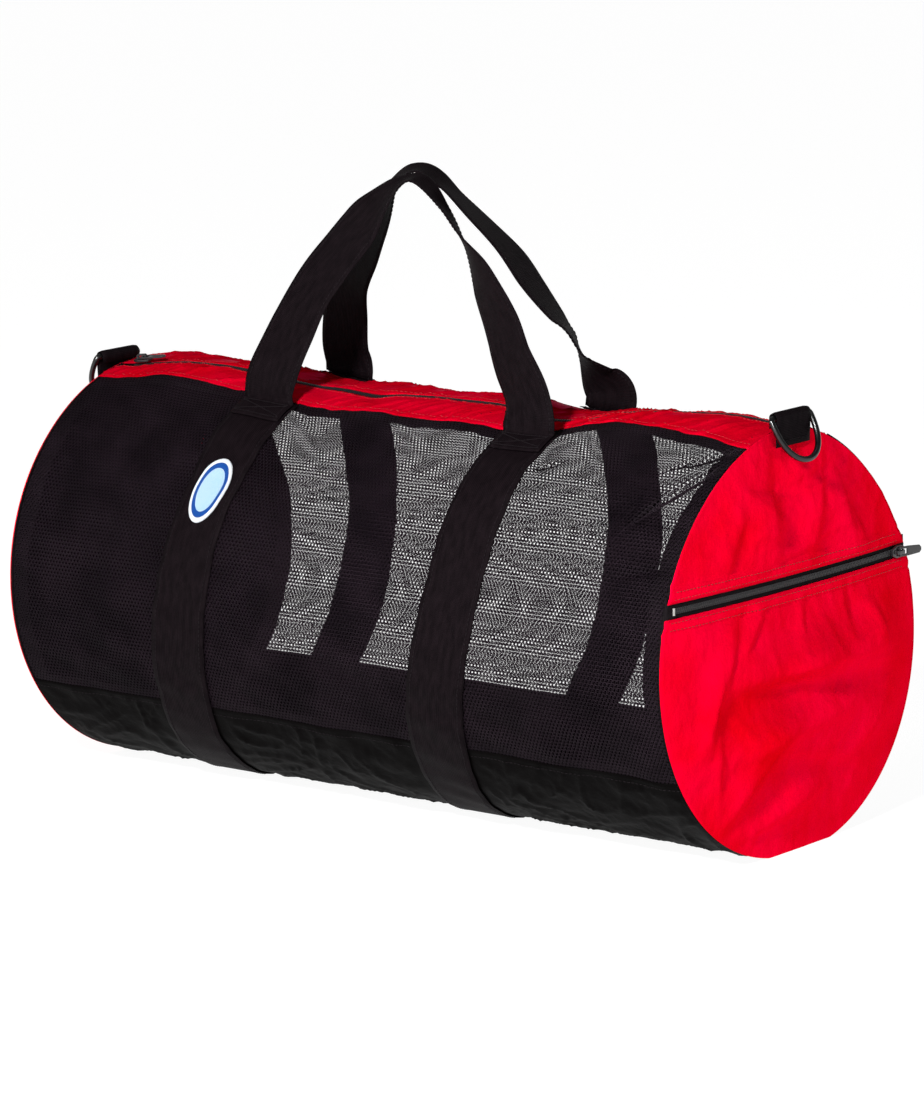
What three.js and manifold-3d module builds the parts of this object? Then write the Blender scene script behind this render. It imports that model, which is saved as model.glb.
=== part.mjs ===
import * as THREE from 'three';
import { mergeVertices } from 'three/addons/utils/BufferGeometryUtils.js';
import Module from 'manifold-3d';

// Mesh dive gear bag: a round soft duffel of two net panels on a nylon bottom, closed along its top by a zip
// between two red strips, with a red panel at each end, two webbing straps round it and two handle loops.
// Millimetres. +X runs to the end with the pocket, -Y is the front and +Z is up.
// The origin lies on the floor, on the bottom panel's flat face, under the middle of the bag.
// "around" is an angle in degrees about the bag's long axis, 0 at the top and 90 at the middle of the front.

const wasm = await Module();
wasm.setup();

// Driving sizes of the body
const BAG_LENGTH = 762;
const BAG_WIDTH = 386;
const BAG_HEIGHT = 381;
const REST_WIDTH = 64;
const END_BULGE = 9;
const POCKET_FULLNESS = 7;
const CROWN_SPREAD = 55;
const SLUMP = 10;
const FRONT_SEAM = 120;
const BACK_SEAM = 228;

// Cloth and the gaps between layers and neighbours
const NET_THICK = 1.2;
const CLOTH_THICK = 1;
const TAPE_THICK = 0.6;
const BINDING_THICK = 1;
const BINDING_WIDTH = 19;
const SEAM_GAP = 0.4;
const TAPE_GAP = 0.5;
const LAYER_GAP = 0.6;

// Webbing
const STRAP_WIDTH = 62;
const STRAP_THICK = 1.8;
const STRAP_SIDE = 3;
const STRAP_RAMP = 14;
const FRONT_FOLD = 22;
const BACK_FOLD = 342;
const TAIL_ARC = 8;
const HANDLE_WIDTH = 58;
const HANDLE_THICK = 1.8;
const FRONT_RISE = 205;
const BACK_RISE = 208;

// Zips
const ZIP_OPENING = 9;
const ZIP_TAPE_WIDTH = 26;
const CHAIN_WIDTH = 5.5;
const CHAIN_THICK = 1.8;
const CHAIN_END = 18;
const SLIDER_LENGTH = 17;
const SLIDER_WIDTH = 11;
const SLIDER_THICK = 2.4;
const BRIDGE_LENGTH = 11;
const BRIDGE_WIDTH = 3.4;
const BRIDGE_HEIGHT = 4.6;
const BRIDGE_WALL = 1.5;
const PULL_LENGTH = 27;
const PULL_WIDTH = 9;
const PULL_THICK = 1.6;
const PULL_RIM = 1.8;
const PULL_CLEARANCE = 0.35;
const POCKET_ZIP_HEIGHT = 246.5;
const POCKET_ZIP_OPENING = 13;
const POCKET_CHAIN_END = 9;

// D-rings and their tabs
const TAB_WIDTH = 51;
const TAB_RISE = 11;
const TAB_HANG = 26;
const TAB_INSET = 2.3;
const RING_WIRE = 5.5;
const RING_DEPTH = 45;
const RING_SIDE_GAP = 1;
const RING_BAR_GAP = 0.4;
const RING_TILT = 27;

// Badge on the front of the left strap
const BADGE_LENGTH = 66;
const BADGE_WIDTH = 39;
const BADGE_THICK = 1.4;
const BADGE_AROUND = 55.5;

const half = BAG_LENGTH / 2;
const restAngle = THREE.MathUtils.radToDeg(Math.asin(REST_WIDTH / BAG_WIDTH));
const axisHeight = BAG_HEIGHT / 2 * Math.cos(THREE.MathUtils.degToRad(restAngle));
const strapIn = LAYER_GAP;
const strapOut = strapIn + STRAP_THICK;
const tapeOut = -(CLOTH_THICK + TAPE_GAP);
const tapeIn = tapeOut - TAPE_THICK;
const bindingOut = tapeIn - TAPE_GAP;
const bindingIn = bindingOut - BINDING_THICK;

// Top of the bag, a row for each section: along is a share of half the length, crown the rise of the top as a
// share of the height, zip the zip's middle, front and back the lower edges of the red strips, in degrees.
const TOP = [
  { along: -1.00, crown: 0.008, zip: 10.0, front: 18.6, back: -18.5 },
  { along: -0.90, crown: 0.017, zip: 8.0, front: 18.4, back: -18.5 },
  { along: -0.79, crown: 0.019, zip: 6.2, front: 16.8, back: -18.0 },
  { along: -0.68, crown: 0.017, zip: 5.0, front: 16.0, back: -18.0 },
  { along: -0.58, crown: 0.009, zip: 4.4, front: 15.9, back: -17.5 },
  { along: -0.50, crown: 0.002, zip: 4.4, front: 16.2, back: -17.0 },
  { along: -0.43, crown: -0.003, zip: 5.0, front: 17.0, back: -17.0 },
  { along: -0.36, crown: -0.006, zip: 5.5, front: 18.0, back: -17.0 },
  { along: -0.29, crown: -0.007, zip: 6.8, front: 18.8, back: -17.0 },
  { along: -0.21, crown: -0.006, zip: 8.2, front: 19.4, back: -16.5 },
  { along: -0.14, crown: -0.005, zip: 8.6, front: 19.5, back: -16.0 },
  { along: -0.08, crown: -0.004, zip: 4.0, front: 19.3, back: -16.0 },
  { along: 0.00, crown: -0.003, zip: 2.4, front: 19.8, back: -16.0 },
  { along: 0.08, crown: -0.002, zip: 3.6, front: 19.9, back: -16.0 },
  { along: 0.16, crown: -0.003, zip: 5.0, front: 19.3, back: -16.5 },
  { along: 0.24, crown: -0.006, zip: 5.6, front: 19.8, back: -17.0 },
  { along: 0.31, crown: -0.011, zip: 7.6, front: 20.3, back: -17.5 },
  { along: 0.38, crown: -0.015, zip: 9.6, front: 18.6, back: -18.0 },
  { along: 0.44, crown: -0.011, zip: 9.0, front: 15.8, back: -18.0 },
  { along: 0.51, crown: -0.001, zip: 5.0, front: 12.6, back: -18.0 },
  { along: 0.58, crown: 0.008, zip: 1.0, front: 11.6, back: -18.0 },
  { along: 0.68, crown: 0.015, zip: 0.0, front: 12.6, back: -18.0 },
  { along: 0.80, crown: 0.019, zip: -1.0, front: 15.2, back: -18.0 },
  { along: 0.91, crown: 0.017, zip: -0.5, front: 17.0, back: -18.5 },
  { along: 1.00, crown: 0.008, zip: 0.0, front: 18.2, back: -18.5 },
];

// Middles of the straps, from the front fold under the bag to the back fold: along is a share of half the length
const LEFT_STRAP = [
  { around: 15, along: -0.410 },
  { around: 55, along: -0.404 },
  { around: 85, along: -0.433 },
  { around: 113, along: -0.475 },
  { around: 150, along: -0.545 },
  { around: 190, along: -0.640 },
  { around: 225, along: -0.715 },
  { around: 261, along: -0.698 },
  { around: 285, along: -0.665 },
  { around: 317, along: -0.575 },
  { around: 345, along: -0.435 },
];
const RIGHT_STRAP = [
  { around: 15, along: 0.393 },
  { around: 52, along: 0.399 },
  { around: 76, along: 0.392 },
  { around: 102, along: 0.345 },
  { around: 120, along: 0.307 },
  { around: 150, along: 0.245 },
  { around: 190, along: 0.170 },
  { around: 225, along: 0.118 },
  { around: 253, along: 0.136 },
  { around: 279, along: 0.173 },
  { around: 319, along: 0.278 },
  { around: 345, along: 0.380 },
];

// Handle loops between their folds: across is a share of the way from the left fold to the right one, rise a
// share of the loop's rise, lean a share of the fold's distance from the middle, turn the webbing's twist and
// wide its width as a share of its full width, less where the grip is gathered.
const FRONT_HANDLE = [
  { across: 0.000, rise: 0.050, lean: 1.00, turn: 0, wide: 1.00 },
  { across: 0.014, rise: 0.144, lean: 0.95, turn: 0, wide: 1.00 },
  { across: 0.042, rise: 0.317, lean: 0.73, turn: 7, wide: 1.00 },
  { across: 0.092, rise: 0.505, lean: 0.54, turn: 17, wide: 1.00 },
  { across: 0.166, rise: 0.662, lean: 0.40, turn: 22, wide: 1.00 },
  { across: 0.260, rise: 0.822, lean: 0.31, turn: 25, wide: 1.00 },
  { across: 0.352, rise: 0.958, lean: 0.25, turn: 48, wide: 0.70 },
  { across: 0.445, rise: 1.020, lean: 0.23, turn: 86, wide: 0.45 },
  { across: 0.556, rise: 0.895, lean: 0.26, turn: 112, wide: 0.50 },
  { across: 0.618, rise: 0.767, lean: 0.26, turn: 126, wide: 0.72 },
  { across: 0.704, rise: 0.609, lean: 0.36, turn: 152, wide: 1.00 },
  { across: 0.825, rise: 0.406, lean: 0.570, turn: 167, wide: 1.00 },
  { across: 0.893, rise: 0.277, lean: 0.730, turn: 170, wide: 1.00 },
  { across: 0.975, rise: 0.144, lean: 0.920, turn: 176, wide: 1.00 },
  { across: 1.000, rise: 0.050, lean: 0.990, turn: 180, wide: 1.00 },
];
const BACK_HANDLE = [
  { across: 0.000, rise: 0.050, lean: 1.00, turn: 0, wide: 1.00 },
  { across: 0.000, rise: 0.140, lean: 0.92, turn: 0, wide: 1.00 },
  { across: 0.028, rise: 0.305, lean: 0.79, turn: 3, wide: 1.00 },
  { across: 0.075, rise: 0.470, lean: 0.64, turn: 12, wide: 1.00 },
  { across: 0.164, rise: 0.642, lean: 0.50, turn: 20, wide: 1.00 },
  { across: 0.260, rise: 0.817, lean: 0.38, turn: 32, wide: 0.86 },
  { across: 0.346, rise: 0.965, lean: 0.28, turn: 58, wide: 0.62 },
  { across: 0.438, rise: 1.000, lean: 0.24, turn: 90, wide: 0.45 },
  { across: 0.528, rise: 0.905, lean: 0.26, turn: 108, wide: 0.60 },
  { across: 0.626, rise: 0.780, lean: 0.28, turn: 107, wide: 0.90 },
  { across: 0.722, rise: 0.645, lean: 0.38, turn: 105, wide: 1.00 },
  { across: 0.786, rise: 0.510, lean: 0.490, turn: 105, wide: 1.00 },
  { across: 0.862, rise: 0.372, lean: 0.660, turn: 112, wide: 1.00 },
  { across: 0.900, rise: 0.300, lean: 0.740, turn: 123, wide: 1.00 },
  { across: 0.925, rise: 0.195, lean: 0.850, turn: 138, wide: 1.00 },
  { across: 0.962, rise: 0.105, lean: 0.940, turn: 160, wide: 1.00 },
  { across: 1.000, rise: 0.050, lean: 1.000, turn: 180, wide: 1.00 },
];

// Soft folds of the pocket panel: height is a share of the bag's height at the middle, slope the fold's rise
// for each millimetre of Y, spread a share of the height, depth a share of the end's bulge, out or in.
const POCKET_FOLDS = [
  { height: 0.56, slope: 0.05, spread: 0.045, depth: 0.22 },
  { height: 0.40, slope: 0.06, spread: 0.035, depth: 0.28 },
  { height: 0.33, slope: 0.06, spread: 0.035, depth: -0.22 },
  { height: 0.13, slope: 0.16, spread: 0.035, depth: -0.30 },
];

// Colours of the materials
const RED = 0xd8021c;
const BLACK_NET = 0x3a3236;
const BLACK_CLOTH = 0x110a0b;
const BLACK_WEB = 0x181114;
const BLACK_METAL = 0x1c1c1e;
const BADGE_BLUE = 0x2f62a8;

// Evenly spaced numbers from one value to another
function spread(from, to, cells) {
  return Array.from({ length: cells + 1 }, (_, step) => from + (to - from) * step / cells);
}

// Value of a column between the rows of a table, in straight lines
function between(rows, key, at, column) {
  const next = Math.max(1, rows.findIndex((row) => row[key] >= at - 1e-9));
  const low = rows[next - 1];
  const high = rows[next];
  return low[column] + (high[column] - low[column]) * (at - low[key]) / (high[key] - low[key]);
}

// The same on a smooth curve whose slope at a row is that between its neighbours
function smooth(rows, key, at, column) {
  const past = rows.findIndex((row) => row[key] >= at - 1e-9);
  const next = past < 0 ? rows.length - 1 : Math.max(1, past);
  const slope = (index) => {
    const before = rows[Math.max(index - 1, 0)];
    const after = rows[Math.min(index + 1, rows.length - 1)];
    return (after[column] - before[column]) / (after[key] - before[key]);
  };
  const low = rows[next - 1];
  const high = rows[next];
  const step = high[key] - low[key];
  const share = (at - low[key]) / step;
  const rise = high[column] - low[column];
  const bend = (slope(next - 1) * step - rise) * (1 - share) + (rise - slope(next) * step) * share;
  return low[column] + rise * share + share * (1 - share) * bend;
}

const topAt = (x, column) => between(TOP, 'along', THREE.MathUtils.clamp(x / half, -1, 1), column);
const degreesOf = (length) => THREE.MathUtils.radToDeg(2 * length / BAG_HEIGHT);

// How much of the crown's rise is felt this far round from the top
function crownShare(around) {
  const turn = Math.abs(around > 180 ? around - 360 : around);
  return turn < CROWN_SPREAD ? Math.cos(Math.PI / 2 * turn / CROWN_SPREAD) ** 2 : 0;
}

// How far the skin stands out behind, towards the right end: it falls in above and fills out below
function slumpAt(x, around) {
  const behind = around < 0 || around > 180;
  const share = behind ? THREE.MathUtils.smoothstep(x, 0, half) : 0;
  return SLUMP * share * Math.sin(THREE.MathUtils.degToRad(2 * around));
}

// Point on the bag's skin, or "out" millimetres outside it, and never under the given floor
function skin(x, around, out = 0, floor = 0) {
  const angle = THREE.MathUtils.degToRad(around);
  const crown = BAG_HEIGHT * topAt(x, 'crown') * crownShare(around);
  const grown = out + slumpAt(x, around);
  const y = -(BAG_WIDTH / 2 + grown) * Math.sin(angle);
  const z = axisHeight + (BAG_HEIGHT / 2 + grown + crown) * Math.cos(angle);
  return new THREE.Vector3(x, y, Math.max(z, floor));
}

// Closed geometry from points and faces: equal points become one, and faces without area are dropped
function solid(points, faces) {
  const corners = faces.flat().map((index) => points[index]);
  const soup = new THREE.BufferGeometry().setFromPoints(corners);
  const merged = mergeVertices(soup, 1e-3);
  const index = merged.getIndex();
  const kept = [];
  for (let face = 0; face < index.count; face += 3) {
    const trio = [index.getX(face), index.getX(face + 1), index.getX(face + 2)];
    if (new Set(trio).size === 3) {
      kept.push(trio);
    }
  }
  const place = merged.getAttribute('position');
  const at = (corner) => new THREE.Vector3().fromBufferAttribute(place, corner);
  const volume = kept.reduce((sum, [a, b, c]) => sum + at(a).dot(at(b).cross(at(c))), 0);
  merged.setIndex(kept.flatMap((trio) => (volume < 0 ? trio.reverse() : trio)));
  merged.computeVertexNormals();
  return merged;
}

// Solid through sections, each a loop of an even number of points whose first half faces its second half.
// A thin cap closes both ends, unless the sections go round in a ring.
function loft(sections, ring = false) {
  const size = sections[0].length;
  const faces = [];
  const spot = (row, step) => (row % sections.length) * size + (step % size);
  const quad = (a, b, c, d) => faces.push([a, b, c], [a, c, d]);
  const spans = ring ? sections.length : sections.length - 1;
  for (let row = 0; row < spans; row += 1) {
    for (let step = 0; step < size; step += 1) {
      quad(spot(row, step), spot(row, step + 1), spot(row + 1, step + 1), spot(row + 1, step));
    }
  }
  const last = sections.length - 1;
  for (let step = 0; !ring && step < size / 2 - 1; step += 1) {
    const far = size - 1 - step;
    quad(spot(0, step), spot(0, far), spot(0, far - 1), spot(0, step + 1));
    quad(spot(last, step), spot(last, step + 1), spot(last, far - 1), spot(last, far));
  }
  return solid(sections.flat(), faces);
}

// Section of a thin sheet from its outer points and its inner ones
const sheetSection = (outer, inner) => [...outer, ...inner.reverse()];

// Joins closed geometries that overlap into one
function fuse(...geometries) {
  const bodies = geometries.map((geometry) => {
    const bare = geometry.clone();
    bare.deleteAttribute('normal');
    bare.deleteAttribute('uv');
    const merged = mergeVertices(bare, 1e-3);
    const vertProperties = new Float32Array(merged.getAttribute('position').array);
    const triVerts = new Uint32Array(merged.getIndex().array);
    return new wasm.Manifold(new wasm.Mesh({ numProp: 3, vertProperties, triVerts }));
  });
  const result = bodies.reduce((whole, body) => whole.add(body)).getMesh();
  const geometry = new THREE.BufferGeometry();
  geometry.setAttribute('position', new THREE.BufferAttribute(result.vertProperties, 3));
  geometry.setIndex(new THREE.BufferAttribute(result.triVerts, 1));
  geometry.computeVertexNormals();
  return geometry;
}

function matte(color, roughness = 0.8) {
  return new THREE.MeshStandardMaterial({ color, roughness, metalness: 0 });
}

const bag = new THREE.Group();

function add(name, geometry, material, parent = bag) {
  const mesh = new THREE.Mesh(geometry, material);
  mesh.name = name;
  parent.add(mesh);
  return mesh;
}

// Panels along the bag

// Sections of the top table that lie within a distance of the middle, with one at each end of it
function stations(reach) {
  const inner = TOP.map((row) => row.along * half).filter((x) => Math.abs(x) < reach - 1);
  return [-reach, ...inner, reach];
}

// Sheet that runs the length of the bag between two edges, given in degrees around it for each section
function longPanel(from, to, cells, out, inside, reach = half) {
  const sections = stations(reach).map((x) => {
    const turns = spread(from(x), to(x), cells);
    return sheetSection(turns.map((turn) => skin(x, turn, out)), turns.map((turn) => skin(x, turn, inside)));
  });
  return loft(sections);
}

function addLongPanels() {
  const seam = degreesOf(SEAM_GAP / 2);
  const opening = degreesOf(ZIP_OPENING / 2);
  const tape = degreesOf(ZIP_TAPE_WIDTH / 2);
  const frontEdge = (x) => topAt(x, 'front');
  const backEdge = (x) => topAt(x, 'back');
  const zip = (x) => topAt(x, 'zip');

  const netFront = longPanel((x) => frontEdge(x) + seam, () => FRONT_SEAM - seam, 14, 0, -NET_THICK);
  add('net_front', netFront, matte(BLACK_NET));
  const netBack = longPanel((x) => backEdge(x) - seam, () => BACK_SEAM - 360 + seam, 15, 0, -NET_THICK);
  add('net_back', netBack, matte(BLACK_NET));

  const stripFront = longPanel((x) => zip(x) + opening, (x) => frontEdge(x) - seam, 3, 0, -CLOTH_THICK);
  add('top_strip_front', stripFront, matte(RED, 0.45));
  const stripBack = longPanel((x) => zip(x) - opening, (x) => backEdge(x) + seam, 4, 0, -CLOTH_THICK);
  add('top_strip_back', stripBack, matte(RED, 0.45));

  const tapeReach = half - BINDING_WIDTH / 2;
  const zipTape = longPanel((x) => zip(x) - tape, (x) => zip(x) + tape, 2, tapeOut, tapeIn, tapeReach);
  add('main_zip_tape', zipTape, matte(BLACK_CLOTH));

  const side = degreesOf(CHAIN_WIDTH / 2);
  const low = tapeOut + TAPE_GAP;
  const chain = longPanel((x) => zip(x) - side, (x) => zip(x) + side, 1, low + CHAIN_THICK, low, half - CHAIN_END);
  add('main_zip_chain', chain, matte(BLACK_METAL, 0.5));
}

// Straps round the bag

const strapX = (strap, around) => smooth(strap, 'around', around, 'along') * half;

// Half of a strap's width as it is cut by a section across the bag, wider where the strap runs aslant
function strapReach(strap, around, width) {
  const step = 2;
  const run = strapX(strap, around + step) - strapX(strap, around - step);
  const arc = THREE.MathUtils.degToRad(2 * step) * BAG_HEIGHT / 2;
  return width / 2 * Math.hypot(1, run / arc);
}

function strapGeometry(strap) {
  const turns = [
    ...spread(FRONT_FOLD - 1.5, 180 - restAngle, 25),
    ...spread(180 - restAngle, 180 + restAngle, 4).slice(1),
    ...spread(180 + restAngle, BACK_FOLD + 1.5, 25).slice(1),
  ];
  const sections = turns.map((turn) => {
    const middle = strapX(strap, turn);
    const reach = strapReach(strap, turn, STRAP_WIDTH);
    const across = [middle - reach, middle, middle + reach];
    const outer = across.map((x) => skin(x, turn, strapOut));
    const inner = across.map((x) => skin(x, turn, strapIn, STRAP_THICK));
    return sheetSection(outer, inner);
  });
  return loft(sections);
}

// Lines across the bottom panel, with its lift off the floor on each: it is pressed up where a strap runs
function bottomLines() {
  const plain = (share) => ({ at: () => share * half, lift: 0 });
  const beside = (strap, side) => {
    const clear = (turn) => strapReach(strap, turn, STRAP_WIDTH) + STRAP_SIDE;
    const lift = STRAP_THICK + SEAM_GAP;
    const edge = { at: (turn) => strapX(strap, turn) + side * clear(turn), lift };
    const foot = { at: (turn) => strapX(strap, turn) + side * (clear(turn) + STRAP_RAMP), lift: 0 };
    return side < 0 ? [foot, edge] : [edge, foot];
  };
  const under = (strap) => ({ at: (turn) => strapX(strap, turn), lift: STRAP_THICK + SEAM_GAP });
  const middle = { at: (turn) => (strapX(LEFT_STRAP, turn) + strapX(RIGHT_STRAP, turn)) / 2, lift: 0 };
  return [
    plain(-1), plain(-0.93),
    ...beside(LEFT_STRAP, -1), under(LEFT_STRAP), ...beside(LEFT_STRAP, 1),
    middle,
    ...beside(RIGHT_STRAP, -1), under(RIGHT_STRAP), ...beside(RIGHT_STRAP, 1),
    plain(0.62), plain(0.81), plain(1),
  ];
}

function addBottom() {
  const seam = degreesOf(SEAM_GAP / 2);
  const turns = [
    ...spread(FRONT_SEAM + seam, 180 - restAngle, 7),
    ...spread(180 - restAngle, 180 + restAngle, 4).slice(1),
    ...spread(180 + restAngle, BACK_SEAM - seam, 5).slice(1),
  ];
  const sections = bottomLines().map(({ at, lift }) => {
    const outer = turns.map((turn) => skin(at(turn), turn, 0, lift));
    const inner = turns.map((turn) => skin(at(turn), turn, -CLOTH_THICK, lift + CLOTH_THICK));
    return sheetSection(outer, inner);
  });
  add('bottom_panel', loft(sections), matte(BLACK_CLOTH));
}

function addStraps() {
  add('strap_left', strapGeometry(LEFT_STRAP), matte(BLACK_WEB));
  add('strap_right', strapGeometry(RIGHT_STRAP), matte(BLACK_WEB));
}

// Handles: each loop lies on its straps for a short tail, folds up at the strip's edge and twists as it rises
function handleGeometry(rows, fold, rise) {
  const inside = strapOut + LAYER_GAP;
  const out = inside + HANDLE_THICK / 2;
  const atFront = fold < 180;
  const left = skin(strapX(LEFT_STRAP, fold), fold, out);
  const right = skin(strapX(RIGHT_STRAP, fold), fold, out);

  const sides = [-1, 0, 1];
  const tail = spread(fold + (atFront ? TAIL_ARC : -TAIL_ARC), fold, 3);
  const tailSection = (strap, outerFirst) => (turn) => {
    const middle = strapX(strap, turn);
    const places = sides.map((side) => middle + side * HANDLE_WIDTH / 2);
    const outer = places.map((x) => skin(x, turn, inside + HANDLE_THICK));
    const inner = places.map((x) => skin(x, turn, inside));
    return outerFirst ? sheetSection(outer, inner) : sheetSection(inner, outer);
  };

  const loop = rows.map((row) => new THREE.Vector3(
    THREE.MathUtils.lerp(left.x, right.x, row.across),
    left.y * row.lean,
    left.z + rise * row.rise,
  ));
  const path = new THREE.CatmullRomCurve3([left, ...loop, right], false, 'centripetal');
  const first = { turn: 0, wide: 1 };
  const last = { turn: 180, wide: 1 };
  const twists = [first, ...rows, last];
  const stepsPerRow = 3;
  const steps = stepsPerRow * (twists.length - 1);
  const loopSections = spread(0, 1, steps).slice(1, -1).map((share) => {
    const spot = share * (twists.length - 1);
    const row = Math.floor(spot + 1e-9);
    const twist = (column) => THREE.MathUtils.lerp(twists[row][column], twists[row + 1][column], spot - row);
    const middle = path.getPoint(share);
    const along = path.getTangent(share);
    const depth = new THREE.Vector3(0, 1, 0).addScaledVector(along, -along.y).normalize();
    const flat = new THREE.Vector3().crossVectors(along, depth);
    const angle = THREE.MathUtils.degToRad(-90 - twist('turn'));
    const width = depth.multiplyScalar(Math.cos(angle)).addScaledVector(flat, Math.sin(angle));
    const normal = new THREE.Vector3().crossVectors(along, width);
    const corner = (side, face) => middle.clone()
      .addScaledVector(width, side * twist('wide') * HANDLE_WIDTH / 2)
      .addScaledVector(normal, face * HANDLE_THICK / 2);
    return sheetSection(sides.map((side) => corner(side, 1)), sides.map((side) => corner(side, -1)));
  });
  return loft([
    ...tail.map(tailSection(LEFT_STRAP, !atFront)),
    ...loopSections,
    ...tail.reverse().map(tailSection(RIGHT_STRAP, atFront)),
  ]);
}

function addHandles() {
  add('handle_front', handleGeometry(FRONT_HANDLE, FRONT_FOLD, FRONT_RISE), matte(BLACK_WEB));
  add('handle_back', handleGeometry(BACK_HANDLE, BACK_FOLD, BACK_RISE), matte(BLACK_WEB));
}

// Ends of the bag

// Outward swell of an end panel at a point of it, with the pocket's fullness and folds where asked for
function endSwell(y, z, pocket) {
  const away = Math.hypot(2 * y / BAG_WIDTH, 2 * (z - axisHeight) / BAG_HEIGHT);
  const swell = END_BULGE * Math.max(0, 1 - away ** 2);
  if (!pocket) {
    return swell;
  }
  const edge = Math.max(0, 1 - away ** 4);
  const belly = POCKET_FULLNESS * edge * Math.sin(Math.PI * Math.min(1, z / POCKET_ZIP_HEIGHT));
  const folds = POCKET_FOLDS.reduce((sum, fold) => {
    const off = (z - fold.height * BAG_HEIGHT - fold.slope * y) / (fold.spread * BAG_HEIGHT);
    return sum + fold.depth * END_BULGE * Math.exp(-(off ** 2));
  }, 0);
  return swell + belly + folds * edge;
}

// Angle around the bag at which the end's rim has this height
const rimAngle = (z) => THREE.MathUtils.radToDeg(Math.acos(2 * (z - axisHeight) / BAG_HEIGHT));

// Point of an end's row, which joins the rim at an angle in front to the rim at the same angle behind
const endRow = (side, turn, share) => skin(side * half, turn).lerp(skin(side * half, 360 - turn), share);

// Sheet across an end between two rows
function endPanel(side, from, to, rows, pocket = false) {
  const columns = 6;
  const sections = spread(from, to, rows).map((turn) => {
    const points = spread(0, 1, columns).map((share) => {
      const { y, z } = endRow(side, turn, share);
      return new THREE.Vector3(half + SEAM_GAP + endSwell(y, z, pocket), y, z);
    });
    const at = (extra) => points.map(({ x, y, z }) => new THREE.Vector3(side * (x + extra), y, z));
    return sheetSection(at(CLOTH_THICK), at(0));
  });
  return loft(sections);
}

// Point of the pocket's cut, this far from its rear end
const pocketTurn = rimAngle(POCKET_ZIP_HEIGHT);
const pocketSpan = endRow(1, pocketTurn, 1).distanceTo(endRow(1, pocketTurn, 0));
const onPocketZip = (fromRear) => endRow(1, pocketTurn, 1 - fromRear / pocketSpan);

// Zip pieces lie along the pocket's cut, on the surface that runs on from the panels above and below it
function pocketZipPiece(low, high, inside, out, inset) {
  const columns = 8;
  const sections = spread(pocketSpan - inset, inset, columns).map((fromRear) => {
    const seat = onPocketZip(fromRear);
    const at = (rise, extra) => {
      const z = seat.z + rise;
      return new THREE.Vector3(half + SEAM_GAP + endSwell(seat.y, z, false) + extra, seat.y, z);
    };
    return [at(low, out), at(high, out), at(high, inside), at(low, inside)];
  });
  return loft(sections);
}

function addEnds() {
  const lowest = 180 - restAngle;
  add('end_left', endPanel(-1, 0, lowest, 26), matte(RED, 0.45));
  const above = rimAngle(POCKET_ZIP_HEIGHT + POCKET_ZIP_OPENING / 2);
  const below = rimAngle(POCKET_ZIP_HEIGHT - POCKET_ZIP_OPENING / 2);
  add('end_right_upper', endPanel(1, 0, above, 10), matte(RED, 0.45));
  add('end_right_pocket', endPanel(1, below, lowest, 18, true), matte(RED, 0.45));

  const tapeSide = ZIP_TAPE_WIDTH / 2;
  const tapeInset = POCKET_CHAIN_END;
  const tape = pocketZipPiece(-tapeSide, tapeSide, -TAPE_GAP - TAPE_THICK, -TAPE_GAP, tapeInset);
  add('pocket_zip_tape', tape, matte(BLACK_CLOTH));
  const chain = pocketZipPiece(-CHAIN_WIDTH / 2, CHAIN_WIDTH / 2, 0, CHAIN_THICK, tapeInset + 1);
  add('pocket_zip_chain', chain, matte(BLACK_METAL, 0.5));
}

// Tapes that bind the seams at both ends, inside the bag
function addBindings() {
  for (const side of [-1, 1]) {
    const turns = [
      ...spread(0, 180 - restAngle, 22),
      ...spread(180 - restAngle, 180 + restAngle, 4).slice(1),
      ...spread(180 + restAngle, 360, 22).slice(1, -1),
    ];
    const near = side * (half - SEAM_GAP);
    const far = side * (half - BINDING_WIDTH);
    const low = CLOTH_THICK + SEAM_GAP;
    const sections = turns.map((turn) => [
      skin(near, turn, bindingOut, low),
      skin(far, turn, bindingOut, low),
      skin(far, turn, bindingIn, low + BINDING_THICK),
      skin(near, turn, bindingIn, low + BINDING_THICK),
    ]);
    add(side < 0 ? 'seam_binding_left' : 'seam_binding_right', loft(sections, true), matte(BLACK_CLOTH));
  }
}

// D-rings: a webbing tab folds over the ring's straight bar above each end seam

const foldInner = RING_WIRE / 2 + RING_BAR_GAP;
const foldOuter = foldInner + STRAP_THICK;
const barX = half - TAB_INSET + foldInner + STRAP_THICK / 2;

// Place of a tab: the top of the end seam where the zip's end meets it
const tabSeat = (side) => skin(side * half, topAt(side * half, 'zip'));

function tabGeometry(side) {
  const seat = tabSeat(side);
  const barHeight = seat.z + TAB_RISE;
  const inside = barX - foldOuter;
  const lean = SEAM_GAP * 2 + CLOTH_THICK;
  const footHeight = barHeight - TAB_HANG;
  const footX = half + lean + endSwell(seat.y, footHeight, false);
  const bends = spread(180, 0, 8).map(THREE.MathUtils.degToRad);
  const around = (radius) => bends.map((bend) => [
    barX + radius * Math.cos(bend), barHeight + radius * Math.sin(bend),
  ]);
  const nearest = Math.max(0, Math.abs(seat.y) - TAB_WIDTH / 2);
  const crest = THREE.MathUtils.radToDeg(Math.asin(2 * nearest / BAG_WIDTH));
  const foot = skin(side * half, crest).z + SEAM_GAP;
  const outer = [[inside, foot], ...around(foldOuter), [footX + STRAP_THICK, footHeight]];
  const inner = [[inside + STRAP_THICK, foot], ...around(foldInner), [footX, footHeight]];
  const sections = spread(-TAB_WIDTH / 2, TAB_WIDTH / 2, 1).map((y) => {
    const at = ([x, z]) => new THREE.Vector3(side * x, seat.y + y, z);
    return sheetSection(outer.map(at), inner.map(at));
  });
  return loft(sections);
}

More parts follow.
